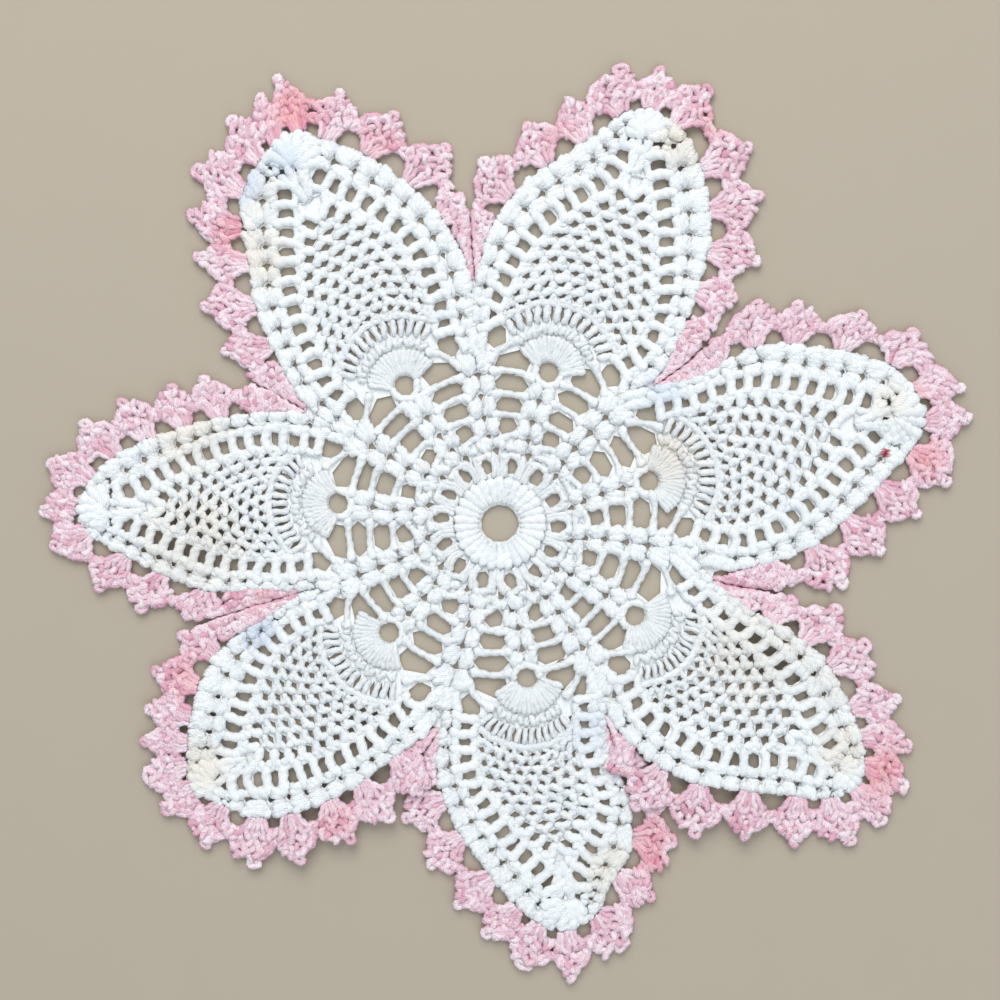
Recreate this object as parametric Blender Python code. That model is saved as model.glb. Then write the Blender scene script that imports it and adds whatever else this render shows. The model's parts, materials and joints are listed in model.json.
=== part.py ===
"""Crocheted pineapple doily: a white cotton body with seven petals and a pink edging.

Units are metres in Blender, and the tables below are in millimetres.  The doily lies
on z = 0.  The origin is under the middle of its outline, and +Y points at the valley
between the two top petals.

The body is worked outwards from a ring: fourteen spokes of shells leave a column of
ladder gaps between each two of them, and each gap column runs on along the side of a
petal.  The gaps are cut through.  The fine loops inside the petals stay closed here.
"""

from math import ceil, cos, degrees, pi, sin
from collections import namedtuple

import bmesh
import bpy
import numpy as np
from mathutils import Vector
from mathutils.geometry import delaunay_2d_cdt

MM = 0.001

# ---- driving dimensions, millimetres -------------------------------------------------
SHEET = 2.0             # thickness of the crocheted fabric as it lies
PIECE_GAP = 0.42        # clear space between the body and the edging
CENTRE = np.array((-2.1, 0.6))   # middle of the starting ring
CENTRE_HOLE = 6.5       # radius of the hole in the starting ring
CENTRE_HOLE_CORNERS = 20
SPOKE_COUNT = 14

BORDER_STEP = 4.6       # length of one straight piece of the body's border
TIP_INSET = 3.8         # last side gaps to the petal's crown, where the two lines meet
LADDER_CLEAR = 7.0      # the side gaps start this far outside the last rung

# Petals counter-clockwise.  (x, y) of the middle of the base hole, of the white tip and
# of the valley root that follows the petal counter-clockwise, and the polar angle of
# that valley's spoke.  "crown" is where the two lines of side gaps meet: distance from
# the petal's axis, positive counter-clockwise, and along it from the base hole.
# "tip_edging" is the depth of the edging at the tip, where 1 is FAN's depth.  "over" is
# +1 where this petal's edging lies on the next petal's, -1 where it lies under, 0 side
# by side.
Petal = namedtuple("Petal", "name base tip root spoke crown tip_edging over")
PETALS = (
    Petal("north_east", (15.3, 54.7), (52.0, 150.1), (-11.0, 87.8), 98.5,
          (-3.0, 89.0), 0.90, 0),
    Petal("north_west", (-36.2, 50.0), (-73.6, 142.6), (-71.8, 41.0), 149.0,
          (8.5, 86.0), 1.18, 0),
    Petal("west", (-59.9, 7.9), (-155.0, 5.8), (-74.0, -24.1), 200.0,
          (0.0, 81.0), 0.76, 0),
    Petal("south_west", (-41.6, -38.5), (-115.0, -90.0), (-23.6, -73.1), 253.0,
          (8.5, 80.0), 0.85, 1),
    Petal("south", (7.7, -54.7), (19.6, -146.5), (34.7, -68.4), 303.6,
          (4.0, 79.0), 1.07, -1),
    Petal("south_east", (46.3, -32.4), (128.3, -92.5), (73.6, -19.8), 351.5,
          (-1.5, 90.0), 1.00, 0),
    Petal("east", (51.3, 15.8), (151.7, 36.4), (53.8, 50.0), 45.0,
          (6.0, 88.0), 0.97, 0),
)

# The two sides of each petal, the clockwise one first.  "gaps" is how far the line of
# side gaps lies from the petal's axis, at the GAPS_AT distances from its base hole.
# "edging" is how deep the edging is, where 1 is FAN's depth.
# "lean" is how far the fans' points stand from the middle of the fan towards the petal's
# tip.  "bulges" is how far the border stands out from the straight line between the
# valley root and the tip, at the BULGE_AT shares of that line.  "fans" is where the fans
# of the edging stand, measured along the border from the valley root.
GAPS_AT = (12.0, 24.0, 36.0, 48.0, 60.0, 72.0)
BULGE_AT = (0.15, 0.35, 0.55, 0.75, 0.90)
SideForm = namedtuple("SideForm", "gaps edging lean bulges fans")
SIDE_FORMS = {
    "north_east": (
        SideForm((28.9, 31.1, 31.0, 27.5, 22.6, 16.8), 1.08, 2.0,
                 (8.0, 16.5, 21.5, 19.5, 12.5), (22, 37, 52, 67, 82, 101, 112)),
        SideForm((27.5, 27.0, 25.7, 21.9, 14.9, 6.1), 0.97, 2.0,
                 (8.0, 13.0, 11.5, 7.5, 6.0), (15, 33, 51, 67, 83))),
    "north_west": (
        SideForm((20.0, 23.0, 23.0, 21.5, 15.8, 7.0), 1.08, -1.5,
                 (6.0, 10.5, 10.5, 8.0, 2.5), (12, 26, 43, 61, 77)),
        SideForm((26.4, 27.5, 27.5, 25.4, 21.4, 16.9), 1.06, 3.5,
                 (8.5, 17.5, 20.5, 22.5, 14.0), (13, 27, 42, 58, 71, 84, 97, 106, 115))),
    "west": (
        SideForm((23.0, 24.0, 22.3, 18.7, 14.0, 7.5), 0.92, 3.5,
                 (5.5, 10.5, 13.0, 12.5, 7.5), (17, 31, 44, 58, 71, 84, 95)),
        SideForm((23.5, 23.5, 22.0, 18.7, 13.3, 8.0), 0.85, 3.5,
                 (3.5, 11.5, 11.5, 9.5, 7.0), (18, 34, 51, 66, 82))),
    "south_west": (
        SideForm((20.0, 22.3, 21.8, 17.0, 8.4, -1.0), 0.97, 0.5,
                 (4.0, 12.5, 14.5, 10.0, 4.5), (12, 25, 38, 51, 62, 72, 80)),
        SideForm((26.3, 28.3, 27.3, 25.3, 21.3, 15.0), 0.98, 1.0,
                 (5.0, 14.5, 19.5, 20.0, 11.5), (18, 34, 47, 62, 74, 88, 100))),
    "south": (
        SideForm((25.3, 26.2, 24.3, 19.3, 11.9, 2.8), 0.95, 1.0,
                 (9.0, 13.5, 12.5, 10.5, 6.0), (12, 26, 41, 59, 73, 83)),
        SideForm((17.5, 19.0, 21.0, 22.5, 17.3, 10.0), 0.92, 2.0,
                 (4.5, 15.5, 20.0, 15.0, 11.5), (15, 30, 46, 61, 77, 90))),
    "south_east": (
        SideForm((24.0, 27.2, 26.5, 25.4, 20.5, 12.0), 1.04, 1.0,
                 (8.5, 15.5, 13.5, 11.5, 8.5), (13, 28, 43, 61, 79, 91, 101)),
        SideForm((20.5, 20.0, 19.8, 18.5, 15.0, 8.6), 0.98, 3.0,
                 (3.0, 12.0, 16.0, 12.5, 8.0), (12, 26, 40, 54, 71, 82, 92))),
    "east": (
        SideForm((24.0, 27.4, 27.4, 23.3, 17.2, 7.7), 1.07, 2.0,
                 (5.0, 11.5, 11.0, 7.5, 4.5), (22, 38, 54, 71, 88)),
        SideForm((23.5, 26.3, 28.6, 27.3, 23.3, 17.2), 0.90, 3.0,
                 (5.0, 20.0, 22.5, 21.5, 16.5), (24, 39, 53, 71, 90, 103, 115))),
}

# Spokes counter-clockwise from the valley north: polar angle at the first row of gaps.
# Each spoke swings to its petal's base, or its valley's spoke angle, by SWING_END.
SPOKE_START = (90.0, 114.0, 137.5, 161.5, 187.0, 212.5, 239.0,
               266.5, 293.5, 318.5, 343.5, 370.5, 397.5, 424.5)
SWING_START, SWING_END = 21.2, 34.6

# Ladder gaps between two spokes: radius from the centre, and half size across the
# column and along it.  The second row is closed.
Rung = namedtuple("Rung", "radius across along")
LADDER = (
    Rung(21.2, 1.9, 1.9),
    Rung(27.6, 0.0, 0.0),
    Rung(34.2, 2.5, 2.1),
    Rung(42.2, 4.3, 2.3),
    Rung(50.0, 5.4, 2.5),
    Rung(57.6, 6.1, 3.3),
    Rung(67.0, 3.3, 3.5),
)
LAST_RUNG_LEAN = 0.72   # the last rung stands nearer the valley spoke than the petal's
SIDE_GAPS = 13          # gaps along each side of a petal, after the ladder
SIDE_GAP = (2.8, 1.4)   # half size across the column and along it
BASE_HOLE = 3.2         # radius of the hole at a petal's base
BASE_HOLE_CORNERS = 8

# ---- edging --------------------------------------------------------------------------
FULL_PITCH = 16.6       # from one fan to the next where they stand freely
# Half a fan, from its middle to the notch beside it, as shares of that way: how deep the
# inner and outer edges of the edging lie from the border.
Station = namedtuple("Station", "share inner outer")
FAN = (
    Station(0.00, 0.0, 17.4),
    Station(0.42, 0.0, 14.8),
    Station(0.74, 4.6, 12.4),
    Station(1.00, 5.4, 9.2),
)
TIGHT_NOTCH = 13.0      # outer depth of the notch between two fans that touch
TIP_GAP = 0.5           # added to PIECE_GAP where the edging rounds a tip
TIP_CLEAR = 2.0         # from the cut at a tip to the cuts beside it
TIP_FAN_TURN = 10.0     # over this length the edging turns round a tip
ROOT_COLUMN = 4.6       # plain edging beside a valley root, before the fans
ROOT_BRIDGE = 2.2       # depth of the edging where it turns round a valley root
VALLEY_CLEAR = 0.35     # edging to the middle line of a valley
TUCK_CLEAR = 0.5        # tucked edging to the border that lies over it
LEAST_DEPTH = 1.5       # narrowest edging
ROOM_STEP = 0.1         # step in which the room across a valley is measured

# ---- how the doily lies --------------------------------------------------------------
FLAT_CENTRE = 42.0      # inside this radius the body lies flat
LAP_LIFT = 2.5          # height of an edge that lies on its neighbour
LAP_FROM, LAP_FULL = 1.0, 13.0     # along its side, where it rises off the table
LAP_UNTIL, LAP_END = 60.0, 80.0    # and where it comes down again
TUCK_UNTIL = 50.0       # the edging under it is tucked in as far as this
LAP_REACH = 30.0        # from the lapping edge to where the petal is flat again
# Soft ridges: (petal, distance from the axis, half width, start, end along the axis,
# height).  Counter-clockwise distances are positive.
Ridge = namedtuple("Ridge", "petal offset spread start end height")
RIDGES = (
    Ridge("west", 9.0, 9.0, 8.0, 88.0, 3.4),
    Ridge("south_east", 22.0, 9.0, 12.0, 80.0, 3.6),
    Ridge("east", 6.0, 5.0, 66.0, 112.0, 3.0),
    Ridge("north_east", -10.0, 8.0, 72.0, 112.0, 2.6),
    Ridge("north_west", 8.0, 10.0, 70.0, 108.0, 2.0),
    Ridge("south_west", -12.0, 10.0, 50.0, 96.0, 2.2),
    Ridge("south", -4.0, 9.0, 60.0, 100.0, 1.6),
)

# ---- how finely the sheet is divided -------------------------------------------------
GRID_STEP = 9.0         # loose points inside a petal
GRID_FIRST = 14.0       # first row of them from the base hole
GRID_ROWS = 4           # rows on each side of a petal's axis
GRID_CLEAR = 5.0        # loose points to the line of side gaps
INSIDE_ONLY = 1         # the triangulation keeps what its outlines enclose
SAME_POINT = 1e-5       # points nearer to each other than this are one


# ---- small helpers -------------------------------------------------------------------
def polar(radius, angle):
    """Point at a polar angle in degrees round the centre of the ring."""
    turn = angle * pi / 180
    return CENTRE + radius * np.array((cos(turn), sin(turn)))


def angle_of(point):
    """Polar angle of a point round the centre, 0 to 360 degrees."""
    x, y = np.asarray(point) - CENTRE
    return degrees(np.arctan2(y, x)) % 360


def smooth(value):
    """0 below 0, 1 above 1, and a soft step between."""
    t = np.clip(value, 0.0, 1.0)
    return t * t * (3 - 2 * t)


def spline(points, per_span=8):
    """Centripetal Catmull-Rom curve through the points."""
    pts = [np.asarray(p, float) for p in points]
    pts = [2 * pts[0] - pts[1]] + pts + [2 * pts[-1] - pts[-2]]
    curve = []
    for p0, p1, p2, p3 in zip(pts, pts[1:], pts[2:], pts[3:]):
        t1 = np.linalg.norm(p1 - p0) ** 0.5
        t2 = t1 + np.linalg.norm(p2 - p1) ** 0.5
        t3 = t2 + np.linalg.norm(p3 - p2) ** 0.5
        for t in np.linspace(t1, t2, per_span, endpoint=False):
            a1 = (p0 * (t1 - t) + p1 * t) / t1
            a2 = (p1 * (t2 - t) + p2 * (t - t1)) / (t2 - t1)
            a3 = (p2 * (t3 - t) + p3 * (t - t2)) / (t3 - t2)
            b1 = (a1 * (t2 - t) + a2 * t) / t2
            b2 = (a2 * (t3 - t) + a3 * (t - t1)) / (t3 - t1)
            curve.append((b1 * (t2 - t) + b2 * (t - t1)) / (t2 - t1))
    curve.append(pts[-2])
    return np.array(curve)


class Path:
    """A polyline that is read by distance along it."""

    def __init__(self, points):
        self.points = np.asarray(points, float)
        steps = np.linalg.norm(np.diff(self.points, axis=0), axis=1)
        self.marks = np.concatenate(([0.0], np.cumsum(steps)))
        self.length = self.marks[-1]

    def at(self, distance):
        return np.array([np.interp(distance, self.marks, self.points[:, axis])
                         for axis in (0, 1)])

    def along(self, distance, reach=2.0):
        """Unit direction of travel at a distance."""
        step = (self.at(min(distance + reach, self.length))
                - self.at(max(distance - reach, 0.0)))
        return step / np.linalg.norm(step)

    def nearest(self, point):
        """Distance from a point to the path, and how far along the foot is."""
        starts, ends = self.points[:-1], self.points[1:]
        spans = ends - starts
        share = np.einsum("ij,ij->i", point - starts, spans)
        share = np.clip(share / np.einsum("ij,ij->i", spans, spans), 0.0, 1.0)
        feet = starts + share[:, None] * spans
        gaps = np.linalg.norm(point - feet, axis=1)
        best = int(np.argmin(gaps))
        return gaps[best], self.marks[best] + share[best] * np.linalg.norm(spans[best])


def left_of(direction):
    return np.array((-direction[1], direction[0]))


def axis_of(petal):
    """A petal's base point, the unit direction from there to its tip, and that length."""
    base = np.array(petal.base)
    span = np.array(petal.tip) - base
    length = np.linalg.norm(span)
    return base, span / length, length


# ---- the chart of one petal ----------------------------------------------------------
class Side:
    """One side of a petal: its border from the valley root out to the tip."""

    def __init__(self, petal, turn, root, form):
        self.petal, self.turn = petal, turn
        self.form, self.edging = form, form.edging
        self.lean, self.fans = form.lean, form.fans
        start, end = np.array(root), np.array(petal.tip)
        chord = end - start
        outward = left_of(chord / np.linalg.norm(chord)) * turn
        points = [start]
        for share, bulge in zip(BULGE_AT, form.bulges):
            points.append(start + share * chord + bulge * outward)
        self.border = Path(spline(points + [end]))

    def outward(self, distance):
        """Unit vector away from the petal, square to its border."""
        return left_of(self.border.along(distance)) * self.turn

    def gap_line(self, petal_spoke, valley_spoke):
        """Line of the side gaps: the ladder's rungs, then up this side to the crown."""
        base, axis, _ = axis_of(self.petal)
        rungs = []
        for rung in LADDER:
            swing = smooth((rung.radius - SWING_START) / (SWING_END - SWING_START))
            near = petal_spoke[0] + swing * (petal_spoke[1] - petal_spoke[0])
            far = valley_spoke[0] + swing * (valley_spoke[1] - valley_spoke[0])
            lean = LAST_RUNG_LEAN if rung is LADDER[-1] else 0.5
            rungs.append(polar(rung.radius, near + lean * (far - near)))
        outward = left_of(axis) * self.turn
        inner = [base + run * axis + aside * outward
                 for run, aside in zip(GAPS_AT, self.form.gaps)]
        clear = LADDER[-1].radius + LADDER_CLEAR
        inner = [point for point in inner if np.linalg.norm(point - CENTRE) > clear]
        across, along = self.petal.crown
        crown = base + along * axis + across * left_of(axis) + TIP_INSET * outward
        return Path(spline(rungs + inner + [crown]))


def near_turn(angle, reference):
    """The same angle, in the turn that is nearest to the reference."""
    return angle + 360 * round((reference - angle) / 360)


def build_chart():
    """Both sides and both gap lines of every petal, counter-clockwise."""
    chart = []
    for index, petal in enumerate(PETALS):
        before = PETALS[index - 1]
        pine = (2 * index - 1) % SPOKE_COUNT
        start = SPOKE_START[pine]
        petal_spoke = (start, near_turn(angle_of(petal.base), start))
        sides = {}
        for turn, valley, form in zip((-1, 1), (before, petal), SIDE_FORMS[petal.name]):
            side = Side(petal, turn, valley.root, form)
            valley_start = near_turn(SPOKE_START[(pine + turn) % SPOKE_COUNT], start)
            valley_spoke = (valley_start, near_turn(valley.spoke, valley_start))
            side.gaps = side.gap_line(petal_spoke, valley_spoke)
            sides[turn] = side
        chart.append(sides)
    return chart


# ---- how high the doily lies ---------------------------------------------------------
def ridge_height(petal, point):
    """Height of a petal's soft ridges over the table at a point."""
    base, axis, _ = axis_of(petal)
    height = 0.0
    for ridge in RIDGES:
        if ridge.petal != petal.name:
            continue
        run = np.dot(point - base, axis)
        aside = np.dot(point - base, left_of(axis))
        middle = (ridge.start + ridge.end) / 2
        reach = (ridge.end - ridge.start) / 2
        along = smooth(1 - abs(run - middle) / reach)
        across = smooth(1 - abs(aside - ridge.offset) / (2 * ridge.spread))
        height += ridge.height * along * across
    return height


def lap_height(side, distance):
    """Lift of a petal's edge at a distance along a side that lies on its neighbour."""
    index = PETALS.index(side.petal)
    valley = side.petal.over if side.turn > 0 else -PETALS[index - 1].over
    if valley <= 0:
        return 0.0
    up = smooth((distance - LAP_FROM) / (LAP_FULL - LAP_FROM))
    down = smooth((LAP_END - distance) / (LAP_END - LAP_UNTIL))
    return LAP_LIFT * up * down


def body_height(chart, point):
    """Height of the underside of the white body at a point."""
    if np.linalg.norm(point - CENTRE) < FLAT_CENTRE:
        return 0.0
    sides = min(chart, key=lambda sides: axis_distance(sides[1].petal, point))
    height = ridge_height(sides[1].petal, point)
    for side in sides.values():
        inset, distance = side.border.nearest(point)
        height += lap_height(side, distance) * (1 - smooth(inset / LAP_REACH))
    return height


def axis_distance(petal, point):
    """Distance from a point to the line from a petal's base hole to its tip."""
    base, axis, length = axis_of(petal)
    run = min(max(np.dot(point - base, axis), 0.0), length)
    return np.linalg.norm(point - base - run * axis)


# ---- the white body ------------------------------------------------------------------
def border_loop(chart):
    """Outline of the white body, counter-clockwise, without repeated points."""
    loop = []
    for sides in chart:
        for turn in (-1, 1):
            border = sides[turn].border
            count = ceil(border.length / BORDER_STEP)
            marks = np.linspace(0.0, border.length, count + 1)
            marks = marks[:-1] if turn < 0 else marks[:0:-1]
            loop.extend(border.at(mark) for mark in marks)
    return loop


# Outlines of the ladder gaps and of the side gaps, as shares of their half sizes.
HEXAGON = ((1.0, 0.0), (0.55, 1.0), (-0.55, 1.0), (-1.0, 0.0), (-0.55, -1.0), (0.55, -1.0))
OBLONG = ((1.0, 0.6), (-1.0, 1.0), (-1.0, -0.6), (1.0, -1.0))


def round_hole(middle, radius, corners):
    """Outline of a round hole."""
    return [middle + radius * np.array((cos(turn), sin(turn)))
            for turn in np.linspace(0, 2 * pi, corners, endpoint=False)]


def gap(corners, middle, direction, across, along):
    """Outline of a gap; its long way is square to the direction of its column."""
    side = -left_of(direction)
    return [middle + side * across * a + direction * along * b for a, b in corners]


def gap_loops(chart):
    """Outlines of every gap that is cut through the white body."""
    loops = [round_hole(CENTRE, CENTRE_HOLE, CENTRE_HOLE_CORNERS)]
    for sides in chart:
        loops.append(round_hole(np.array(sides[1].petal.base), BASE_HOLE, BASE_HOLE_CORNERS))
        for side in sides.values():
            line = side.gaps
            for rung in LADDER:
                if rung.across:
                    mark = line.nearest(line_point(line, rung.radius))[1]
                    loops.append(gap(HEXAGON, line.at(mark), line.along(mark),
                                     rung.across, rung.along))
            start = line.nearest(line_point(line, LADDER[-1].radius))[1]
            pitch = (line.length - start) / SIDE_GAPS
            for row in range(1, SIDE_GAPS + 1):
                mark = start + row * pitch
                loops.append(gap(OBLONG, line.at(mark), line.along(mark), *SIDE_GAP))
    return loops


def line_point(line, radius):
    """Where a gap line first reaches a radius from the centre."""
    reach = np.linalg.norm(line.points - CENTRE, axis=1)
    return line.points[int(np.argmax(reach >= radius))]


def inner_points(chart):
    """A loose grid of points inside the petals, so that the soft ridges show."""
    points = []
    for sides in chart:
        base, axis, length = axis_of(sides[1].petal)
        for run in np.arange(GRID_FIRST, length - GRID_FIRST, GRID_STEP):
            for row in range(-GRID_ROWS, GRID_ROWS + 1):
                point = base + run * axis + row * GRID_STEP * left_of(axis)
                inside = all(side.gaps.nearest(point)[0] > GRID_CLEAR
                             and turned_inside(side, point) for side in sides.values())
                if inside:
                    points.append(point)
    return points


def turned_inside(side, point):
    """True where a point lies on the petal's side of the line of side gaps."""
    mark = side.gaps.nearest(point)[1]
    outward = left_of(side.gaps.along(mark)) * side.turn
    return np.dot(point - side.gaps.at(mark), outward) < 0


def triangulate(border, holes, loose):
    """Triangles of a flat sheet with holes: points and index triples."""
    points, faces = [], []
    for loop in [border] + holes:
        first = len(points)
        points.extend(loop)
        faces.append(list(range(first, first + len(loop))))
    points.extend(loose)
    flat, _, triangles, _, _, sources = delaunay_2d_cdt(
        [Vector(p) for p in points], [], faces, INSIDE_ONLY, SAME_POINT)
    kept = [tri for tri, source in zip(triangles, sources) if source == [0]]
    return [np.array(p) for p in flat], kept


def solid_sheet(name, points, heights, faces, material, parts):
    """Closed sheet of even thickness: its underside, raised by the thickness."""
    mesh = bpy.data.meshes.new(name)
    shape = bmesh.new()
    corners = [shape.verts.new((x * MM, y * MM, z * MM)) for (x, y), z in zip(points, heights)]
    for face in faces:
        shape.faces.new([corners[i] for i in face])
    loose = [v for v in shape.verts if not v.link_faces]
    bmesh.ops.delete(shape, geom=loose, context="VERTS")
    top = bmesh.ops.extrude_face_region(shape, geom=list(shape.faces), use_keep_orig=True)
    lifted = [item for item in top["geom"] if isinstance(item, bmesh.types.BMVert)]
    bmesh.ops.translate(shape, verts=lifted, vec=(0.0, 0.0, SHEET * MM))
    bmesh.ops.triangulate(shape, faces=list(shape.faces))
    bmesh.ops.recalc_face_normals(shape, faces=list(shape.faces))
    shape.to_mesh(mesh)
    shape.free()
    sheet = bpy.data.objects.new(name, mesh)
    mesh.materials.append(material)
    parts.objects.link(sheet)
    return sheet


def make_body(chart, parts):
    """The white body: centre, ladders and seven petals in one piece."""
    points, faces = triangulate(border_loop(chart), gap_loops(chart), inner_points(chart))
    heights = [body_height(chart, point) for point in points]
    cotton = cotton_material("white_cotton", (0.83, 0.85, 0.86))
    return solid_sheet("crocheted_body", points, heights, faces, cotton, parts)


# ---- the pink edging -----------------------------------------------------------------
def half_fan(middle, other, stations, to_root):
    """Cuts across one half of a fan, beside its middle: place, lean, inner and outer depth."""
    reach = (other - middle) * (1.0 if to_root else 0.5)
    free = min(2 * abs(reach) / FULL_PITCH, 1.0)
    cuts = []
    for station in stations:
        outer = station.outer
        if station is FAN[-1]:
            outer = TIGHT_NOTCH + free * (station.outer - TIGHT_NOTCH)
        place = middle + station.share * reach
        cuts.append((place, (1 - station.share) * free, station.inner * free, outer))
    return cuts


def fan_marks(sides):
    """Every cut across the edging of one petal, from its clockwise valley root over the
    tip to the other root: the side, the distance along that side's border from its
    valley root, the lean of the cut's outer end, and the inner and outer depth."""
    tip = sides[-1].border.length
    whole = tip + sides[1].border.length
    middles = [float(mark) for mark in sides[-1].fans]
    middles += [whole - mark for mark in reversed(sides[1].fans)]
    ends = [ROOT_COLUMN] + middles + [whole - ROOT_COLUMN]
    cuts = [(ends[0], 0.0, 0.0, LEAST_DEPTH), (ends[-1], 0.0, 0.0, LEAST_DEPTH)]
    for before, middle, after in zip(ends, ends[1:], ends[2:]):
        last = after == ends[-1]
        cuts.append((middle, 1.0, FAN[0].inner, FAN[0].outer))
        cuts.extend(half_fan(middle, before, FAN[1:-1], before == ends[0]))
        cuts.extend(half_fan(middle, after, FAN[1:-1] if last else FAN[1:], last))
    tip_depth = min(cuts, key=lambda cut: abs(cut[0] - tip))[-1]
    cuts = [cut for cut in cuts if abs(cut[0] - tip) > TIP_CLEAR]
    cuts.append((tip, 0.0, 0.0, tip_depth))
    marks = []
    for place, lean, inner, outer in sorted(cuts):
        side = sides[-1] if place <= tip else sides[1]
        distance = place if place <= tip else whole - place
        marks.append((side, distance, lean * side.lean, inner, outer))
    return marks


def edge_direction(side, distance):
    """Direction in which the edging stands out; it turns evenly round the tip."""
    axis = axis_of(side.petal)[1]
    outward = side.outward(distance)
    turn = smooth(1 - (side.border.length - distance) / TIP_FAN_TURN)
    direction = outward + turn * (axis - outward)
    return direction / np.linalg.norm(direction)


def room(side, other, foot, direction, distance, depth, rule):
    """How far the edging can stand out beside the neighbour across the valley."""
    in_lap = LAP_FULL < distance < TUCK_UNTIL
    if rule > 0 and in_lap:
        return depth
    for reach in np.arange(PIECE_GAP, depth, ROOM_STEP):
        point = foot + reach * direction
        to_other = other.border.nearest(point)[0]
        to_own = TUCK_CLEAR if rule < 0 and in_lap else reach + 2 * VALLEY_CLEAR
        if to_other < to_own:
            return reach
    return depth


def petal_columns(sides, others, rules):
    """Cuts across the edging of a petal: the inner and outer point, each with its height."""
    columns = []
    for side, distance, lean, inner, outer in fan_marks(sides):
        foot = side.border.at(distance)
        direction = edge_direction(side, distance)
        near_tip = smooth(1 - (side.border.length - distance) / FULL_PITCH)
        lean *= (1 - near_tip) / FAN[0].outer
        slant = direction + lean * side.border.along(distance)
        outer *= side.edging + near_tip * (side.petal.tip_edging - side.edging)
        outer = room(side, others[side.turn], foot, slant, distance, outer, rules[side.turn])
        clear = PIECE_GAP + TIP_GAP * near_tip
        inner = max(min(inner, outer - LEAST_DEPTH), clear)
        outer = max(outer, clear + LEAST_DEPTH / 2)
        lift = lap_height(side, distance)
        column = []
        for point in (foot + inner * direction, foot + outer * slant):
            column.append((point, lift + ridge_height(side.petal, point)))
        columns.append(column)
    return columns


def root_column(before, after):
    """The cut across the edging where it turns round a valley root."""
    first, second = before.border.along(0.0), after.border.along(0.0)
    middle = first + second
    middle = middle / np.linalg.norm(middle)
    half = abs(first[0] * middle[1] - first[1] * middle[0])
    start = before.border.at(0.0) + middle * PIECE_GAP / half
    return [(start, 0.0), (start + ROOT_BRIDGE * middle, 0.0)]


def make_edging(chart, parts):
    """The pink edging: one closed band of fans round all seven petals."""
    columns = []
    for index, sides in enumerate(chart):
        before, after = chart[index - 1][1], chart[(index + 1) % len(chart)][-1]
        rules = {-1: -PETALS[index - 1].over, 1: PETALS[index].over}
        columns.append(root_column(before, sides[-1]))
        columns.extend(petal_columns(sides, {-1: before, 1: after}, rules))
    points = [point for column in columns for point, _ in column]
    heights = [height for column in columns for _, height in column]
    faces = []
    for index in range(len(columns)):
        a, b = 2 * index, 2 * ((index + 1) % len(columns))
        faces.append((a, b, b + 1, a + 1))
    cotton = cotton_material("pink_cotton", (0.86, 0.56, 0.64))
    return solid_sheet("crocheted_edging", points, heights, faces, cotton, parts)


def cotton_material(name, colour):
    """Matt crochet cotton."""
    material = bpy.data.materials.new(name)
    material.use_nodes = True
    shader = material.node_tree.nodes["Principled BSDF"]
    shader.inputs["Base Color"].default_value = (*colour, 1.0)
    shader.inputs["Roughness"].default_value = 0.9
    shader.inputs["Metallic"].default_value = 0.0
    return material


def main():
    for old in list(bpy.data.objects):
        bpy.data.objects.remove(old, do_unlink=True)
    parts = bpy.data.collections.new("lace_doily")
    bpy.context.scene.collection.children.link(parts)
    chart = build_chart()
    make_body(chart, parts)
    make_edging(chart, parts)


if __name__ == "__main__":
    main()
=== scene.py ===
"""Crocheted pineapple doily, stitch by stitch.

The white body is worked outwards from a ring: a round of trebles, fourteen spokes of
shells with chain bars between them, and seven petals.  Each petal is a fan of trebles,
rows of chain loops that narrow to its tip, and a column of shells along either side.
A pink edging of small fans, each with a picot, goes round all seven petals.

Every stitch is a strand of cotton with its own course and thickness.  The tables repeat
those of the solid model, in millimetres, so the stitches lie on its sheets.  A thin felt
of the same cotton lies inside the stitches, as the crossing threads do in real lace.
"""

import json
from collections import namedtuple
from math import cos, degrees, pi, radians, sin

import bpy
import numpy as np
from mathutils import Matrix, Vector
from mathutils.geometry import delaunay_2d_cdt

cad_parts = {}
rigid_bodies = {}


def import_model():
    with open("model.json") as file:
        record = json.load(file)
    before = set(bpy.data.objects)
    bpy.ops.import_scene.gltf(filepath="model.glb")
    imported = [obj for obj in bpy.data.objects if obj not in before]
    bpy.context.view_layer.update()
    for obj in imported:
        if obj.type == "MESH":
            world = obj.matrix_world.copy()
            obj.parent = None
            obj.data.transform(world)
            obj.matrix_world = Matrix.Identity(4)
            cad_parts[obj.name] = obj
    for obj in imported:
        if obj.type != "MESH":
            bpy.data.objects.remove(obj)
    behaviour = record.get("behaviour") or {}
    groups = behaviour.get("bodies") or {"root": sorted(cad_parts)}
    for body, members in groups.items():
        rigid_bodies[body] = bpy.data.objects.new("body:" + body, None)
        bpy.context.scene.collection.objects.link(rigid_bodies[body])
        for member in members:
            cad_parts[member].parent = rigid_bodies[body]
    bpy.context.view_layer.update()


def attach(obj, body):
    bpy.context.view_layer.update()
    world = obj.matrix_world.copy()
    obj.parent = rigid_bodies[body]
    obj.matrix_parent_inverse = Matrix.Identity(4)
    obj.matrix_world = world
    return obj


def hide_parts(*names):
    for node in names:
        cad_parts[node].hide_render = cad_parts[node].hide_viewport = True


bl_info = {
    "name": "Crocheted pineapple doily",
    "version": (1, 0, 0),
    "blender": (4, 5, 0),
    "location": "3D View > Sidebar > Doily",
    "description": "Lays every stitch of a seven-petal pineapple doily with a pink edging",
    "category": "Add Mesh",
}

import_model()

MM = 0.001

# ---- the chart, in millimetres: the same tables as the solid model ---------------------
CENTRE = np.array((-2.1, 0.6))   # middle of the starting ring
CENTRE_HOLE = 6.5
SPOKE_COUNT = 14
TIP_INSET = 3.8
LADDER_CLEAR = 7.0

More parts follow.
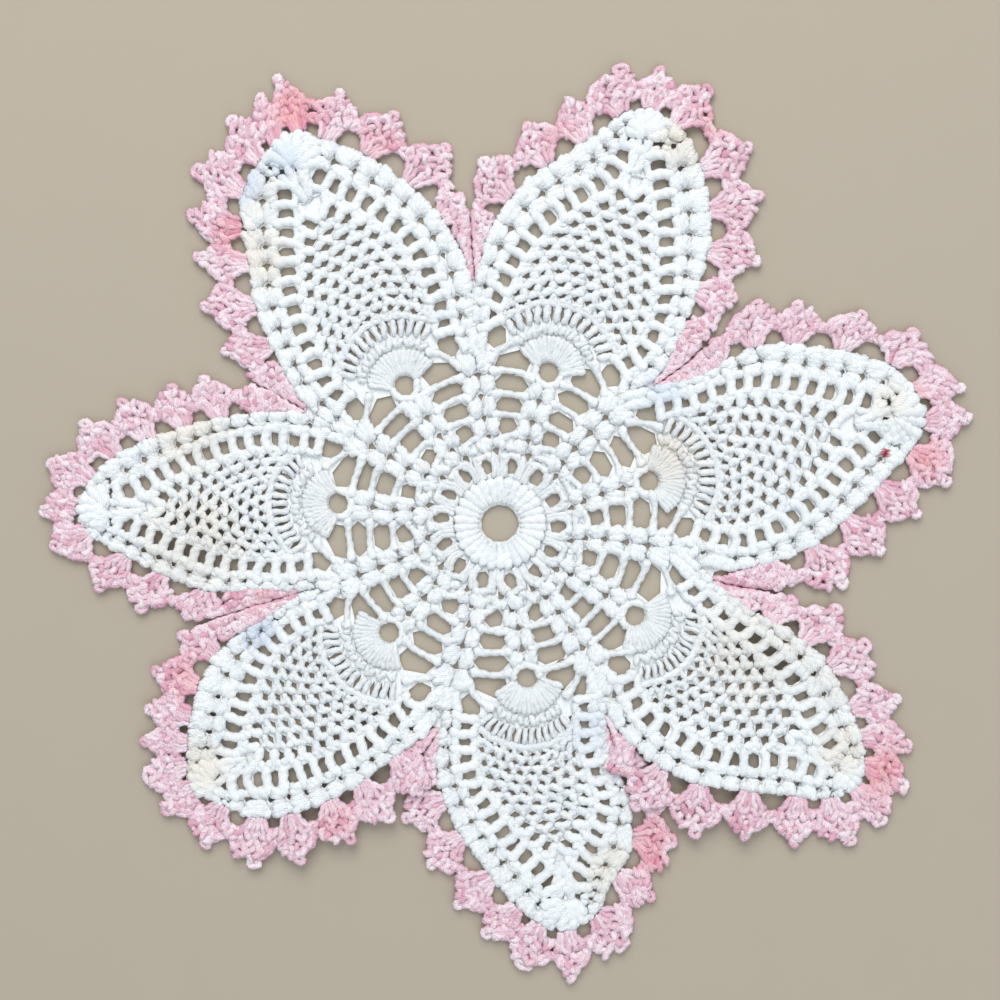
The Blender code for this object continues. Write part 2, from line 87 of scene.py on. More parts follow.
# Petals counter-clockwise: middle of the base hole, white tip, valley root that follows,
# polar angle of that valley's spoke, the crown where its two lines of side gaps meet, depth
# of the edging at the tip, and +1 where this petal's edging lies on the next petal's, -1
# where it lies under.
Petal = namedtuple("Petal", "name base tip root spoke crown tip_edging over")
PETALS = (
    Petal("north_east", (15.3, 54.7), (52.0, 150.1), (-11.0, 87.8), 98.5,
          (-3.0, 89.0), 0.90, 0),
    Petal("north_west", (-36.2, 50.0), (-73.6, 142.6), (-71.8, 41.0), 149.0,
          (8.5, 86.0), 1.18, 0),
    Petal("west", (-59.9, 7.9), (-155.0, 5.8), (-74.0, -24.1), 200.0,
          (0.0, 81.0), 0.76, 0),
    Petal("south_west", (-41.6, -38.5), (-115.0, -90.0), (-23.6, -73.1), 253.0,
          (8.5, 80.0), 0.85, 1),
    Petal("south", (7.7, -54.7), (19.6, -146.5), (34.7, -68.4), 303.6,
          (4.0, 79.0), 1.07, -1),
    Petal("south_east", (46.3, -32.4), (128.3, -92.5), (73.6, -19.8), 351.5,
          (-1.5, 90.0), 1.00, 0),
    Petal("east", (51.3, 15.8), (151.7, 36.4), (53.8, 50.0), 45.0,
          (6.0, 88.0), 0.97, 0),
)

# The two sides of each petal, the clockwise one first: how far the line of side gaps lies
# from the petal's axis at the GAPS_AT distances from its base hole, depth and lean of the
# fans, how far the border bulges at the BULGE_AT shares of its length, and where the fans
# stand, from the valley root.
GAPS_AT = (12.0, 24.0, 36.0, 48.0, 60.0, 72.0)
BULGE_AT = (0.15, 0.35, 0.55, 0.75, 0.90)
SideForm = namedtuple("SideForm", "gaps edging lean bulges fans")
SIDE_FORMS = {
    "north_east": (
        SideForm((28.9, 31.1, 31.0, 27.5, 22.6, 16.8), 1.08, 2.0,
                 (8.0, 16.5, 21.5, 19.5, 12.5), (22, 37, 52, 67, 82, 101, 112)),
        SideForm((27.5, 27.0, 25.7, 21.9, 14.9, 6.1), 0.97, 2.0,
                 (8.0, 13.0, 11.5, 7.5, 6.0), (15, 33, 51, 67, 83))),
    "north_west": (
        SideForm((20.0, 23.0, 23.0, 21.5, 15.8, 7.0), 1.08, -1.5,
                 (6.0, 10.5, 10.5, 8.0, 2.5), (12, 26, 43, 61, 77)),
        SideForm((26.4, 27.5, 27.5, 25.4, 21.4, 16.9), 1.06, 3.5,
                 (8.5, 17.5, 20.5, 22.5, 14.0), (13, 27, 42, 58, 71, 84, 97, 106, 115))),
    "west": (
        SideForm((23.0, 24.0, 22.3, 18.7, 14.0, 7.5), 0.92, 3.5,
                 (5.5, 10.5, 13.0, 12.5, 7.5), (17, 31, 44, 58, 71, 84, 95)),
        SideForm((23.5, 23.5, 22.0, 18.7, 13.3, 8.0), 0.85, 3.5,
                 (3.5, 11.5, 11.5, 9.5, 7.0), (18, 34, 51, 66, 82))),
    "south_west": (
        SideForm((20.0, 22.3, 21.8, 17.0, 8.4, -1.0), 0.97, 0.5,
                 (4.0, 12.5, 14.5, 10.0, 4.5), (12, 25, 38, 51, 62, 72, 80)),
        SideForm((26.3, 28.3, 27.3, 25.3, 21.3, 15.0), 0.98, 1.0,
                 (5.0, 14.5, 19.5, 20.0, 11.5), (18, 34, 47, 62, 74, 88, 100))),
    "south": (
        SideForm((25.3, 26.2, 24.3, 19.3, 11.9, 2.8), 0.95, 1.0,
                 (9.0, 13.5, 12.5, 10.5, 6.0), (12, 26, 41, 59, 73, 83)),
        SideForm((17.5, 19.0, 21.0, 22.5, 17.3, 10.0), 0.92, 2.0,
                 (4.5, 15.5, 20.0, 15.0, 11.5), (15, 30, 46, 61, 77, 90))),
    "south_east": (
        SideForm((24.0, 27.2, 26.5, 25.4, 20.5, 12.0), 1.04, 1.0,
                 (8.5, 15.5, 13.5, 11.5, 8.5), (13, 28, 43, 61, 79, 91, 101)),
        SideForm((20.5, 20.0, 19.8, 18.5, 15.0, 8.6), 0.98, 3.0,
                 (3.0, 12.0, 16.0, 12.5, 8.0), (12, 26, 40, 54, 71, 82, 92))),
    "east": (
        SideForm((24.0, 27.4, 27.4, 23.3, 17.2, 7.7), 1.07, 2.0,
                 (5.0, 11.5, 11.0, 7.5, 4.5), (22, 38, 54, 71, 88)),
        SideForm((23.5, 26.3, 28.6, 27.3, 23.3, 17.2), 0.90, 3.0,
                 (5.0, 20.0, 22.5, 21.5, 16.5), (24, 39, 53, 71, 90, 103, 115))),
}

SPOKE_START = (90.0, 114.0, 137.5, 161.5, 187.0, 212.5, 239.0,
               266.5, 293.5, 318.5, 343.5, 370.5, 397.5, 424.5)
SWING_START, SWING_END = 21.2, 34.6
Rung = namedtuple("Rung", "radius across along")
LADDER = (
    Rung(21.2, 1.9, 1.9),
    Rung(27.6, 0.0, 0.0),
    Rung(34.2, 2.5, 2.1),
    Rung(42.2, 4.3, 2.3),
    Rung(50.0, 5.4, 2.5),
    Rung(57.6, 6.1, 3.3),
    Rung(67.0, 3.3, 3.5),
)
LAST_RUNG_LEAN = 0.72
SIDE_GAPS = 13
SIDE_GAP = (2.8, 1.4)
BASE_HOLE = 3.2

# Half a fan of the edging: shares of the way to the notch, inner and outer depth.
Station = namedtuple("Station", "share inner outer")
FAN = (
    Station(0.00, 0.0, 17.4),
    Station(0.42, 0.0, 14.8),
    Station(0.74, 4.6, 12.4),
    Station(1.00, 5.4, 9.2),
)
FULL_PITCH = 16.6
TIGHT_NOTCH = 13.0
PIECE_GAP = 0.42
TIP_FAN_TURN = 10.0
VALLEY_CLEAR = 0.35
TUCK_CLEAR = 0.5

# How the doily lies: overlapping edges and soft ridges.
FLAT_CENTRE = 42.0
LAP_LIFT = 2.5
LAP_FROM, LAP_FULL = 1.0, 13.0
LAP_UNTIL, LAP_END = 60.0, 80.0
TUCK_UNTIL = 50.0
LAP_REACH = 30.0
Ridge = namedtuple("Ridge", "petal offset spread start end height")
RIDGES = (
    Ridge("west", 9.0, 9.0, 8.0, 88.0, 3.4),
    Ridge("south_east", 22.0, 9.0, 12.0, 80.0, 3.6),
    Ridge("east", 6.0, 5.0, 66.0, 112.0, 3.0),
    Ridge("north_east", -10.0, 8.0, 72.0, 112.0, 2.6),
    Ridge("north_west", 8.0, 10.0, 70.0, 108.0, 2.0),
    Ridge("south_west", -12.0, 10.0, 50.0, 96.0, 2.2),
    Ridge("south", -4.0, 9.0, 60.0, 100.0, 1.6),
)

# ---- the stitches, in millimetres ------------------------------------------------------
RING_TREBLES = 30       # trebles worked into the starting ring
# A treble from its foot to its head.  In the ring: radius, lean in degrees, rise, width.
RING_TREBLE = ((6.9, -1.0, 0.6, 2.0), (7.9, -0.5, 1.4, 2.7), (10.4, 0.6, 1.5, 3.4),
               (13.6, 0.2, 1.5, 4.2), (16.9, 1.2, 1.25, 4.6))
# In a petal's fan: radius, share of the way from its foot's angle to its head's, rise, width.
FAN_TREBLE = ((3.9, 0.0, 0.9, 1.6), (5.0, 0.4, 1.4, 2.0), (9.0, 0.9, 1.55, 2.6),
              (13.4, 1.0, 1.3, 3.0))
# A spoke's first posts, inner and outer: radius, distance from the spoke's line, width.
FIRST_POSTS = (((15.9, 0.75, 2.5), (21.2, 0.75, 2.5), (25.4, 2.2, 3.0)),
               ((16.2, 2.0, 2.5), (21.2, 1.7, 2.5), (25.2, 3.8, 3.2)))
FIRST_RISES = (1.0, 1.7, 1.4)
# A chain bar of the ladder: share of its reach, shift along the line of gaps, rise, width,
# and width beside a petal.
BAR = ((1.0, -0.6, 0.9, 4.8, 5.0), (0.4, 0.5, 1.3, 2.9, 4.0), (-0.4, 0.5, 1.3, 2.8, 3.9),
       (-1.0, -0.6, 0.9, 4.6, 4.8))
BAR_PAST = 2.5          # how far a bar goes past the gaps on either side
BAR_BOW, PETAL_BAR_BOW = 0.9, 0.5   # how far it bows
VALLEY_RADII = (48.0, 54.0, 60.0, 66.0)     # where a valley's spoke bounds the columns
TIP_STEP = 7.0          # from shell to shell of a column past the last side gap
SCALLOP = (0.2, 0.9)    # how far inside the border the corners of the shells lie
TIP_POSTS = (-72, -48, -24, 0, 24, 48, 72)  # directions of the posts that close a tip
SPOKE_ROWS = (26.4, 31.3, 38.2, 46.1, 53.8, 62.3)   # where the shells of a spoke stand
SPOKE_EDGES = (5.2, 6.3, 5.6, 5.9, 6.7, 7.6)        # half width of the spoke there
POST = 3.7              # width of a post in a shell
POST_STEP = 1.8         # from post to post at the shell's outer edge
POST_RISES = (1.0, 1.5, 1.5, 1.3)   # how high a post stands, from its foot to its head
EYE = (1.3, 2.3)        # half width and depth of the small opening under a shell
CLOSED_EYES = 0.6       # share of the shells along a petal's side with their eye closed
FAN_TREBLES = 18        # trebles in the fan at a petal's base
FAN_SPREAD = 68.0       # degrees to either side of the axis, at most
FAN_CLEAR = 5.2         # from the open row to the line of side gaps
CLOSE_INNER, CLOSE_OUTER = 13.9, 17.4   # the close row round the fan
CLOSE_STEP = 2.3        # from post to post in it
POST_INNER, POST_OUTER = 18.0, 24.5     # the open row outside that
SLIT = (3.0, 0.85)      # half length and half width of the slits in that row
LOOP_ROWS = 12          # rows of chain loops
LOOP_WIDTH = 3.9        # of their strands, at most
LOOP_HOLE = (0.42, 0.40)    # half the opening in a loop, as shares of its span and climb
CROWN_PLAIN = 12.0      # from the last loop to the crown
STRAND_ENDS = 0.45      # radius of a strand's very end, as a share
STRAND_FACETS = 8       # flats round a strand
BAKE_SHELF, BAKE_GAP = 8.6, 2.0     # room for an unrolled strand: round it, and at its ends
WHITE_PINCH, PINK_PINCH = 0.17, 0.28  # how deep the groove between two lobes is
WHITE_SPREAD, PINK_SPREAD = 0.2, 0.55  # how much darker the darkest strands are, and the painted shade down their flanks
VEE_PITCH, VEE_SLANT = 2.7, 0.55    # the V of a chain loop: its length and how far it slants
FLANK_SHADE = 1.9             # how much deeper the painted shade is down the flanks of a strand
PRESSED = 0.86          # strands are pressed a little flat by blocking
FELT_RISE, FELT_THICK = 0.2, 0.7      # the white felt under the stitches
PINK_RISE, PINK_THICK = 0.3, 0.7      # the pink felt inside each fan
FELT_SHARE = 0.8        # share of one square of felt that the pieces cut from it use
VALLEY_DEPTH = 16.0     # the most the edging reaches down in a valley

# Places where the cotton has aged to cream, where painted cool light lies on the white cotton, or
# where the dye runs warm: x, y, reach, amount.
Patch = namedtuple("Patch", "x y reach amount")
CREAM_PATCHES = (
    Patch(-88.0, 96.0, 14.0, 0.8), Patch(63.0, 136.0, 11.0, 1.0), Patch(59.0, 24.0, 13.0, 0.8),
    Patch(138.0, 44.0, 9.0, 0.7), Patch(-113.0, 32.0, 16.0, 0.8), Patch(-112.0, -6.0, 22.0, 0.7),
    Patch(90.0, -44.0, 24.0, 0.6), Patch(121.0, -80.0, 11.0, 0.9), Patch(-109.0, -86.0, 12.0, 0.9),
    Patch(38.0, -124.0, 12.0, 0.8), Patch(-89.0, 118.0, 10.0, 0.5), Patch(118.0, -54.0, 16.0, 0.4),
)
# painted cool light: soft bluish patches laid on the white cotton
COOL_LIGHT_PATCHES = (
    Patch(-94.0, 122.0, 9.0, 0.9), Patch(-79.0, 131.0, 8.0, 0.8), Patch(57.0, 48.0, 9.0, 0.6),
    Patch(-88.0, -38.0, 8.0, 0.9), Patch(-60.0, 142.0, 7.0, 0.5), Patch(31.0, -73.0, 10.0, 0.45),
)
WARM_PATCHES = (
    Patch(-75.0, 149.0, 13.0, 1.0), Patch(-97.0, 104.0, 9.0, 0.9), Patch(137.0, -88.0, 13.0, 1.0),
    Patch(54.0, -115.0, 13.0, 0.9), Patch(-113.0, -54.0, 11.0, 0.7), Patch(144.0, 43.0, 10.0, 1.0),
    Patch(151.0, 25.0, 9.0, 0.8), Patch(-90.0, -23.0, 10.0, 0.7), Patch(75.0, 145.0, 9.0, 0.6),
    Patch(-45.0, 136.0, 9.0, 0.6), Patch(19.0, 138.0, 9.0, 0.5), Patch(-60.0, -106.0, 10.0, 0.5),
)
FLECK = Patch(136.0, 25.9, 1.5, 1.0)    # a speck of stray crimson thread


# ---- small helpers ---------------------------------------------------------------------
def linear_colour(code):
    """Linear red, green and blue of an sRGB hex colour."""
    values = (int(code[i:i + 2], 16) / 255 for i in (1, 3, 5))
    return tuple(v / 12.92 if v <= 0.04045 else ((v + 0.055) / 1.055) ** 2.4 for v in values)


def polar(radius, angle, middle=CENTRE):
    turn = radians(angle)
    return middle + radius * np.array((cos(turn), sin(turn)))


def angle_of(point, middle=CENTRE):
    x, y = np.asarray(point) - middle
    return degrees(np.arctan2(y, x)) % 360


def near_turn(angle, reference):
    """The same angle, in the turn that is nearest to the reference."""
    return angle + 360 * round((reference - angle) / 360)


def smooth(value):
    t = np.clip(value, 0.0, 1.0)
    return t * t * (3 - 2 * t)


def lerp(a, b, share):
    """The point a share of the way from one to another."""
    if isinstance(a, tuple):
        return tuple(x + (y - x) * share for x, y in zip(a, b))
    return a + (b - a) * share


def unit(vector):
    return vector / max(np.linalg.norm(vector), 1e-9)


def left_of(direction):
    return np.array((-direction[1], direction[0]))


def spline(points, per_span=8):
    """Centripetal curve through the points."""
    pts = [np.asarray(p, float) for p in points]
    pts = [2 * pts[0] - pts[1]] + pts + [2 * pts[-1] - pts[-2]]
    curve = []
    for p0, p1, p2, p3 in zip(pts, pts[1:], pts[2:], pts[3:]):
        t1 = np.linalg.norm(p1 - p0) ** 0.5
        t2 = t1 + np.linalg.norm(p2 - p1) ** 0.5
        t3 = t2 + np.linalg.norm(p3 - p2) ** 0.5
        for t in np.linspace(t1, t2, per_span, endpoint=False):
            a1 = (p0 * (t1 - t) + p1 * t) / t1
            a2 = (p1 * (t2 - t) + p2 * (t - t1)) / (t2 - t1)
            a3 = (p2 * (t3 - t) + p3 * (t - t2)) / (t3 - t2)
            b1 = (a1 * (t2 - t) + a2 * t) / t2
            b2 = (a2 * (t3 - t) + a3 * (t - t1)) / (t3 - t1)
            curve.append((b1 * (t2 - t) + b2 * (t - t1)) / (t2 - t1))
    curve.append(pts[-2])
    return np.array(curve)


class Path:
    """A polyline that is read by distance along it."""

    def __init__(self, points):
        self.points = np.asarray(points, float)
        self.spans = np.diff(self.points, axis=0)
        steps = np.linalg.norm(self.spans, axis=1)
        self.steps = np.maximum(steps, 1e-9)
        self.marks = np.concatenate(([0.0], np.cumsum(steps)))
        self.length = self.marks[-1]

    def at(self, distance):
        return np.array([np.interp(distance, self.marks, self.points[:, axis])
                         for axis in (0, 1)])

    def along(self, distance, reach=2.0):
        step = (self.at(min(distance + reach, self.length))
                - self.at(max(distance - reach, 0.0)))
        return step / np.linalg.norm(step)

    def nearest(self, points):
        """Distances from points to the path, and how far along their feet are."""
        away = np.atleast_2d(points)[:, None, :] - self.points[None, :-1, :]
        share = np.einsum("nij,ij->ni", away, self.spans) / self.steps ** 2
        share = np.clip(share, 0.0, 1.0)
        gaps = np.linalg.norm(away - share[..., None] * self.spans, axis=2)
        best = np.argmin(gaps, axis=1)
        rows = np.arange(len(best))
        marks = self.marks[best] + share[rows, best] * self.steps[best]
        return gaps[rows, best], marks

    def mark_of(self, point):
        return self.nearest(point)[1][0]


def axis_of(petal):
    base = np.array(petal.base)
    span = np.array(petal.tip) - base
    length = np.linalg.norm(span)
    return base, span / length, length


# ---- the chart of one petal ------------------------------------------------------------
class Side:
    """One side of a petal: its border from the valley root out to the tip."""

    def __init__(self, petal, turn, root, form):
        self.petal, self.turn, self.form = petal, turn, form
        start, end = np.array(root), np.array(petal.tip)
        chord = end - start
        outward = left_of(chord / np.linalg.norm(chord)) * turn
        points = [start]
        for share, bulge in zip(BULGE_AT, form.bulges):
            points.append(start + share * chord + bulge * outward)
        self.border = Path(spline(points + [end]))

    def outward(self, distance):
        return left_of(self.border.along(distance)) * self.turn

    def set_gap_line(self, petal_spoke, valley_spoke):
        """The line of gaps: the ladder's rungs, then up this side to the crown."""
        base, axis, _ = axis_of(self.petal)
        rungs = []
        for rung in LADDER:
            near, far = swung(petal_spoke, rung.radius), swung(valley_spoke, rung.radius)
            lean = LAST_RUNG_LEAN if rung is LADDER[-1] else 0.5
            rungs.append(polar(rung.radius, near + lean * (far - near)))
        outward = left_of(axis) * self.turn
        inner = [base + run * axis + aside * outward
                 for run, aside in zip(GAPS_AT, self.form.gaps)]
        clear = LADDER[-1].radius + LADDER_CLEAR
        inner = [point for point in inner if np.linalg.norm(point - CENTRE) > clear]
        across, along = self.petal.crown
        crown = base + along * axis + across * left_of(axis) + TIP_INSET * outward
        self.gaps = Path(spline(rungs + inner + [crown]))
        self.rungs = [self.gaps.mark_of(line_point(self.gaps, rung.radius)) for rung in LADDER]
        self.pitch = (self.gaps.length - self.rungs[-1]) / SIDE_GAPS

    def gap_mark(self, row):
        """How far along the line a row is: gaps are at whole rows, loops' heads between."""
        return min(self.rungs[-1] + row * self.pitch, self.gaps.length)

    def beside_gaps(self, mark, reach):
        """Point beside the line of gaps, outwards for a positive reach."""
        return self.gaps.at(mark) + reach * self.turn * left_of(self.gaps.along(mark))


def swung(spoke, radius):
    """Polar angle of a spoke at a radius: it swings from its first angle to its last."""
    swing = smooth((radius - SWING_START) / (SWING_END - SWING_START))
    return spoke[0] + swing * (spoke[1] - spoke[0])


def line_point(line, radius):
    reach = np.linalg.norm(line.points - CENTRE, axis=1)
    return line.points[int(np.argmax(reach >= radius))]


class PetalChart:
    """A petal's two sides, its two kinds of spoke, and how it lies."""

    def __init__(self, index):
        self.petal, before = PETALS[index], PETALS[index - 1]
        pine = (2 * index - 1) % SPOKE_COUNT
        start = SPOKE_START[pine]
        self.spoke = (start, near_turn(angle_of(self.petal.base), start))
        self.sides, self.valleys = {}, {}
        forms = SIDE_FORMS[self.petal.name]
        for turn, valley, form in zip((-1, 1), (before, self.petal), forms):
            side = Side(self.petal, turn, valley.root, form)
            first = near_turn(SPOKE_START[(pine + turn) % SPOKE_COUNT], start)
            self.valleys[turn] = (first, near_turn(valley.spoke, first))
            side.set_gap_line(self.spoke, self.valleys[turn])
            side.laps = (self.petal.over if turn > 0 else -before.over) > 0
            side.tucked = (self.petal.over if turn > 0 else -before.over) < 0
            self.sides[turn] = side
        self.base, self.axis, self.length = axis_of(self.petal)
        self.across = left_of(self.axis)
        self.heading = degrees(np.arctan2(self.axis[1], self.axis[0]))
        aside, along = self.petal.crown
        self.crown = self.base + along * self.axis + aside * self.across
        self.last_loop = self.crown - CROWN_PLAIN * unit(self.crown - self.base)
        self.reach = {turn: self.fan_reach(side) for turn, side in self.sides.items()}

    def fan_reach(self, side):
        """How far round its base hole the open row goes on one side, in degrees."""
        for angle in np.arange(FAN_SPREAD - 2, 24.0, -2.0):
            point = polar(POST_OUTER, self.heading + side.turn * angle, self.base)
            mark = side.gaps.mark_of(point)
            outward = side.turn * left_of(side.gaps.along(mark))
            if np.dot(side.gaps.at(mark) - point, outward) > FAN_CLEAR:
                return angle
        return 24.0

    def fan_turn(self, share):
        """Direction of a post of the open row, from 0 on the right to 1 on the left."""
        return self.heading + lerp(-self.reach[-1], self.reach[1], share)

    def ridges(self, points):
        """Height of the soft ridges over the table."""
        away = np.atleast_2d(points) - self.base
        run, aside = away @ self.axis, away @ self.across
        height = np.zeros(len(away))
        for ridge in RIDGES:
            if ridge.petal == self.petal.name:
                middle = (ridge.start + ridge.end) / 2
                reach = (ridge.end - ridge.start) / 2
                along = smooth(1 - abs(run - middle) / reach)
                across = smooth(1 - abs(aside - ridge.offset) / (2 * ridge.spread))
                height += ridge.height * along * across
        return height

    def lap(self, side, distance):
        """Lift of an edge that lies on its neighbour."""
        if not side.laps:
            return np.zeros_like(distance)
        up = smooth((distance - LAP_FROM) / (LAP_FULL - LAP_FROM))
        down = smooth((LAP_END - distance) / (LAP_END - LAP_UNTIL))
        return LAP_LIFT * up * down

    def height(self, points):
        """Height of the underside of the white cotton."""
        points = np.atleast_2d(points)
        height = self.ridges(points)
        for side in self.sides.values():
            if side.laps:
                inset, distance = side.border.nearest(points)
                height += self.lap(side, distance) * (1 - smooth(inset / LAP_REACH))
        near = np.linalg.norm(points - CENTRE, axis=1)
        return np.where(near < FLAT_CENTRE, 0.0, height)

    def off_axis(self, points):
        away = np.atleast_2d(points) - self.base
        run = np.clip(away @ self.axis, 0.0, self.length)
        return np.linalg.norm(away - run[:, None] * self.axis, axis=1)


CHART = [PetalChart(index) for index in range(len(PETALS))]


def body_height(points):
    """Height of the underside of the white cotton anywhere: its nearest petal's."""
    points = np.atleast_2d(points)
    nearest = np.argmin([chart.off_axis(points) for chart in CHART], axis=0)
    height = np.zeros(len(points))
    for index, chart in enumerate(CHART):
        mine = nearest == index
        if mine.any():
            height[mine] = chart.height(points[mine])
    return height


# ---- strands ---------------------------------------------------------------------------
class Skein:
    """The strands of one piece, before they are made a mesh."""

    def __init__(self, seed, yarn, pinch, ground=None):
        self.chance = np.random.default_rng(seed)
        self.yarn, self.pinch, self.ground = yarn, pinch, ground
        self.courses = []

    def lay(self, points, heights, rises, widths, wander=1.0):
        """A strand through points; rises are over the sheet, widths are its diameter."""
        points = np.array(points, float)
        count = len(points)
        rises = np.broadcast_to(np.asarray(rises, float), count)
        widths = np.broadcast_to(np.asarray(widths, float), count)
        drift = self.chance.normal(0.0, self.yarn.wander / MM * wander, (count, 2))
        thick = 1.0 + self.chance.normal(0.0, 0.035)
        course = np.empty((count, 4))
        course[:, :2] = points + np.clip(drift, -0.6, 0.6)
        course[:, 2] = np.asarray(heights) + rises + self.chance.normal(0.0, 0.06)
        course[:, 3] = widths * thick / 2
        course[:, 2] = np.maximum(course[:, 2], course[:, 3] * PRESSED)
        shade = self.chance.normal(0.0, 1.0)
        turn = self.chance.uniform(0.0, pi)
        self.courses.append((course, shade, turn))

    def work(self, points, rises, widths, wander=1.0):
        """A strand on the white cotton's own height."""
        self.lay(points, self.ground(points), rises, widths, wander)

    def post(self, foot, head, width, bow=0.0, slim=0.8, lift=0.0):
        """A treble: a wrapped post from its foot to its head, a little bowed."""
        middle = lerp(foot, head, 0.5) + bow * left_of(unit(head - foot))
        points = [foot, lerp(foot, middle, 0.6), lerp(middle, head, 0.4), head]
        self.work(points, np.array(POST_RISES) + lift,
                  (width * slim, width * 0.95, width, width * 0.95))

    def wing(self, feet, heads):
        """Posts side by side, fanned from a line of feet to a line of heads, so that they
        swell into one puff."""
        feet, heads = Path(feet), Path(heads)
        count = max(int(round(max(feet.length, heads.length) / POST_STEP)) + 1, 2)
        for share in np.linspace(0.0, 1.0, count):
            self.post(feet.at(share * feet.length), heads.at(share * heads.length), POST,
                      lift=0.25 * (1 - (2 * share - 1) ** 2))


def resampled(course, spacing):
    """A course as an even curve through its points: place, height and radius."""
    ends = (2 * course[0] - course[1], 2 * course[-1] - course[-2])
    rows = np.vstack((ends[0], course, ends[1]))
    t = np.linspace(0.0, 1.0, 9)[:-1, None]
    p0, p1, p2, p3 = rows[:-3, None], rows[1:-2, None], rows[2:-1, None], rows[3:, None]
    curve = 0.5 * (2 * p1 + (p2 - p0) * t + (2 * p0 - 5 * p1 + 4 * p2 - p3) * t ** 2
                   + (3 * p1 - p0 - 3 * p2 + p3) * t ** 3)
    curve = np.vstack((curve.reshape(-1, 4), course[-1]))
    steps = np.linalg.norm(np.diff(curve[:, :3], axis=0), axis=1)
    marks = np.concatenate(([0.0], np.cumsum(steps)))
    count = max(int(round(marks[-1] / spacing)), 3)
    even = np.linspace(0.0, marks[-1], count + 1)
    return np.column_stack([np.interp(even, marks, curve[:, k]) for k in range(4)]), even


def patch_amount(patches, x, y):
    """How strongly a point lies in a list of round, soft patches, 0 to 1."""
    amount = np.zeros_like(x)
    for patch in patches:
        gap = np.hypot(x - patch.x, y - patch.y) / patch.reach
        amount = np.maximum(amount, patch.amount * smooth(1.25 - gap))
    return amount


def placed(name, data):
    """A new object of some data, in the scene."""
    item = bpy.data.objects.new(name, data)
    bpy.context.scene.collection.objects.link(item)
    return item


def sweep(skein, name, patches, pale):
    """Mesh of all the strands of a skein, with its yarn map, bake map and tones."""
    yarn = skein.yarn
    facets = STRAND_FACETS
    around = np.arange(facets) * 2 * pi / facets
    lobe = 1 - skein.pinch * (1 - np.cos(2 * around)) / 2
    verts, faces, tones, strips = [], [], [], []
    first = 0
    ring = np.arange(facets)
    following = np.roll(ring, -1)
    for course, shade, turn in skein.courses:
        curve, marks = resampled(course, yarn.segment / MM)
        count = len(curve)
        tangent = np.gradient(curve[:, :3], axis=0)
        tangent /= np.linalg.norm(tangent, axis=1)[:, None] + 1e-9
        side = np.column_stack((-tangent[:, 1], tangent[:, 0], np.zeros(count)))
        side /= np.linalg.norm(side, axis=1)[:, None] + 1e-9
        up = np.cross(tangent, side)
        ends = np.minimum(marks, marks[-1] - marks) / np.maximum(curve[:, 3], 0.1)
        taper = np.sqrt(np.clip(1 - (1 - np.clip(ends, 0, 1)) ** 2, STRAND_ENDS ** 2, 1))
        phase = around[None, :] + (turn + pi * marks / (yarn.wrap / MM))[:, None]
        reach = (curve[:, 3] * taper)[:, None] * lobe[None, :]
        body = (curve[:, None, :3] + (reach * np.cos(phase))[..., None] * side[:, None, :]
                + (reach * np.sin(phase) * PRESSED)[..., None] * up[:, None, :])
        verts.append(body.reshape(-1, 3))
        rows = first + np.arange(count - 1)[:, None] * facets
        quads = np.stack((rows + ring, rows + following,
                          rows + facets + following, rows + facets + ring), axis=2)
        faces.append(quads.reshape(-1, 4))
        strips.append((first, count, marks))
        # painted shade: the tone darkens down each strand's flanks, standing in for occlusion
        # between strands
        flank_shade = np.clip(1 - np.sin(phase), 0.0, 1.0) ** 1.5
        tones.append((shade - FLANK_SHADE * flank_shade).ravel())
        first += count * facets
    verts = np.concatenate(verts) * MM
    quads = np.concatenate(faces)
    caps = []
    for start, count, _ in strips:
        caps.append(list(range(start, start + facets))[::-1])
        last = start + (count - 1) * facets
        caps.append(list(range(last, last + facets)))
    mesh = bpy.data.meshes.new(name)
    mesh.from_pydata(verts, [], quads.tolist() + caps)
    mesh.shade_smooth()
    lay_maps(mesh, strips, facets)
    paint_tones(mesh, verts / MM, np.concatenate(tones), patches, pale)
    return placed(name, mesh)


def lay_maps(mesh, strips, facets):
    """The yarn map holds turns round the strand and millimetres along it.  The bake map
    holds the same strips unrolled and shelved side by side in one square."""
    total = sum(marks[-1] + BAKE_GAP for _, _, marks in strips)
    longest = max(marks[-1] for _, _, marks in strips)
    width = max((total * BAKE_SHELF) ** 0.5, longest + BAKE_GAP)
    yarn_uv, bake_uv, cap_yarn, cap_bake = [], [], [], []
    x, y = 0.0, 0.0
    ring = np.arange(facets) / facets
    following = ring + 1 / facets
    turns = ring * 2 * pi
    disc = 0.35 * np.column_stack((np.cos(turns), np.sin(turns)))
    for _, count, marks in strips:
        if x + marks[-1] + BAKE_GAP > width:
            x, y = 0.0, y + BAKE_SHELF
        low, high = marks[:-1, None], marks[1:, None]
        wide = np.zeros((count - 1, facets))
        u0, u1, v0, v1 = wide + ring, wide + following, wide + low, wide + high
        yarn_uv.append(np.stack((u0, v0, u1, v0, u1, v1, u0, v1), axis=2).reshape(-1, 2))
        inner = 0.9 * BAKE_SHELF
        bake_uv.append(np.stack((x + v0, y + inner * u0, x + v0, y + inner * u1,
                                 x + v1, y + inner * u1, x + v1, y + inner * u0),
                                axis=2).reshape(-1, 2))
        for mark, order in ((0.0, -1), (marks[-1], 1)):
            cap_yarn.append(np.column_stack((np.full(facets, 0.5), np.full(facets, mark))))
            middle = np.array((x + marks[-1] + 0.9, y + 0.5 * BAKE_SHELF + order))
            cap_bake.append(disc[::order] + middle)
        x += marks[-1] + BAKE_GAP
    yarn_uv = np.concatenate(yarn_uv + cap_yarn)
    bake_uv = np.concatenate(bake_uv + cap_bake) / (width, y + BAKE_SHELF)
    for title, values in (("Yarn", yarn_uv), ("OFBake", bake_uv)):
        layer = mesh.uv_layers.new(name=title)
        layer.data.foreach_set("uv", values.astype(np.float32).ravel())


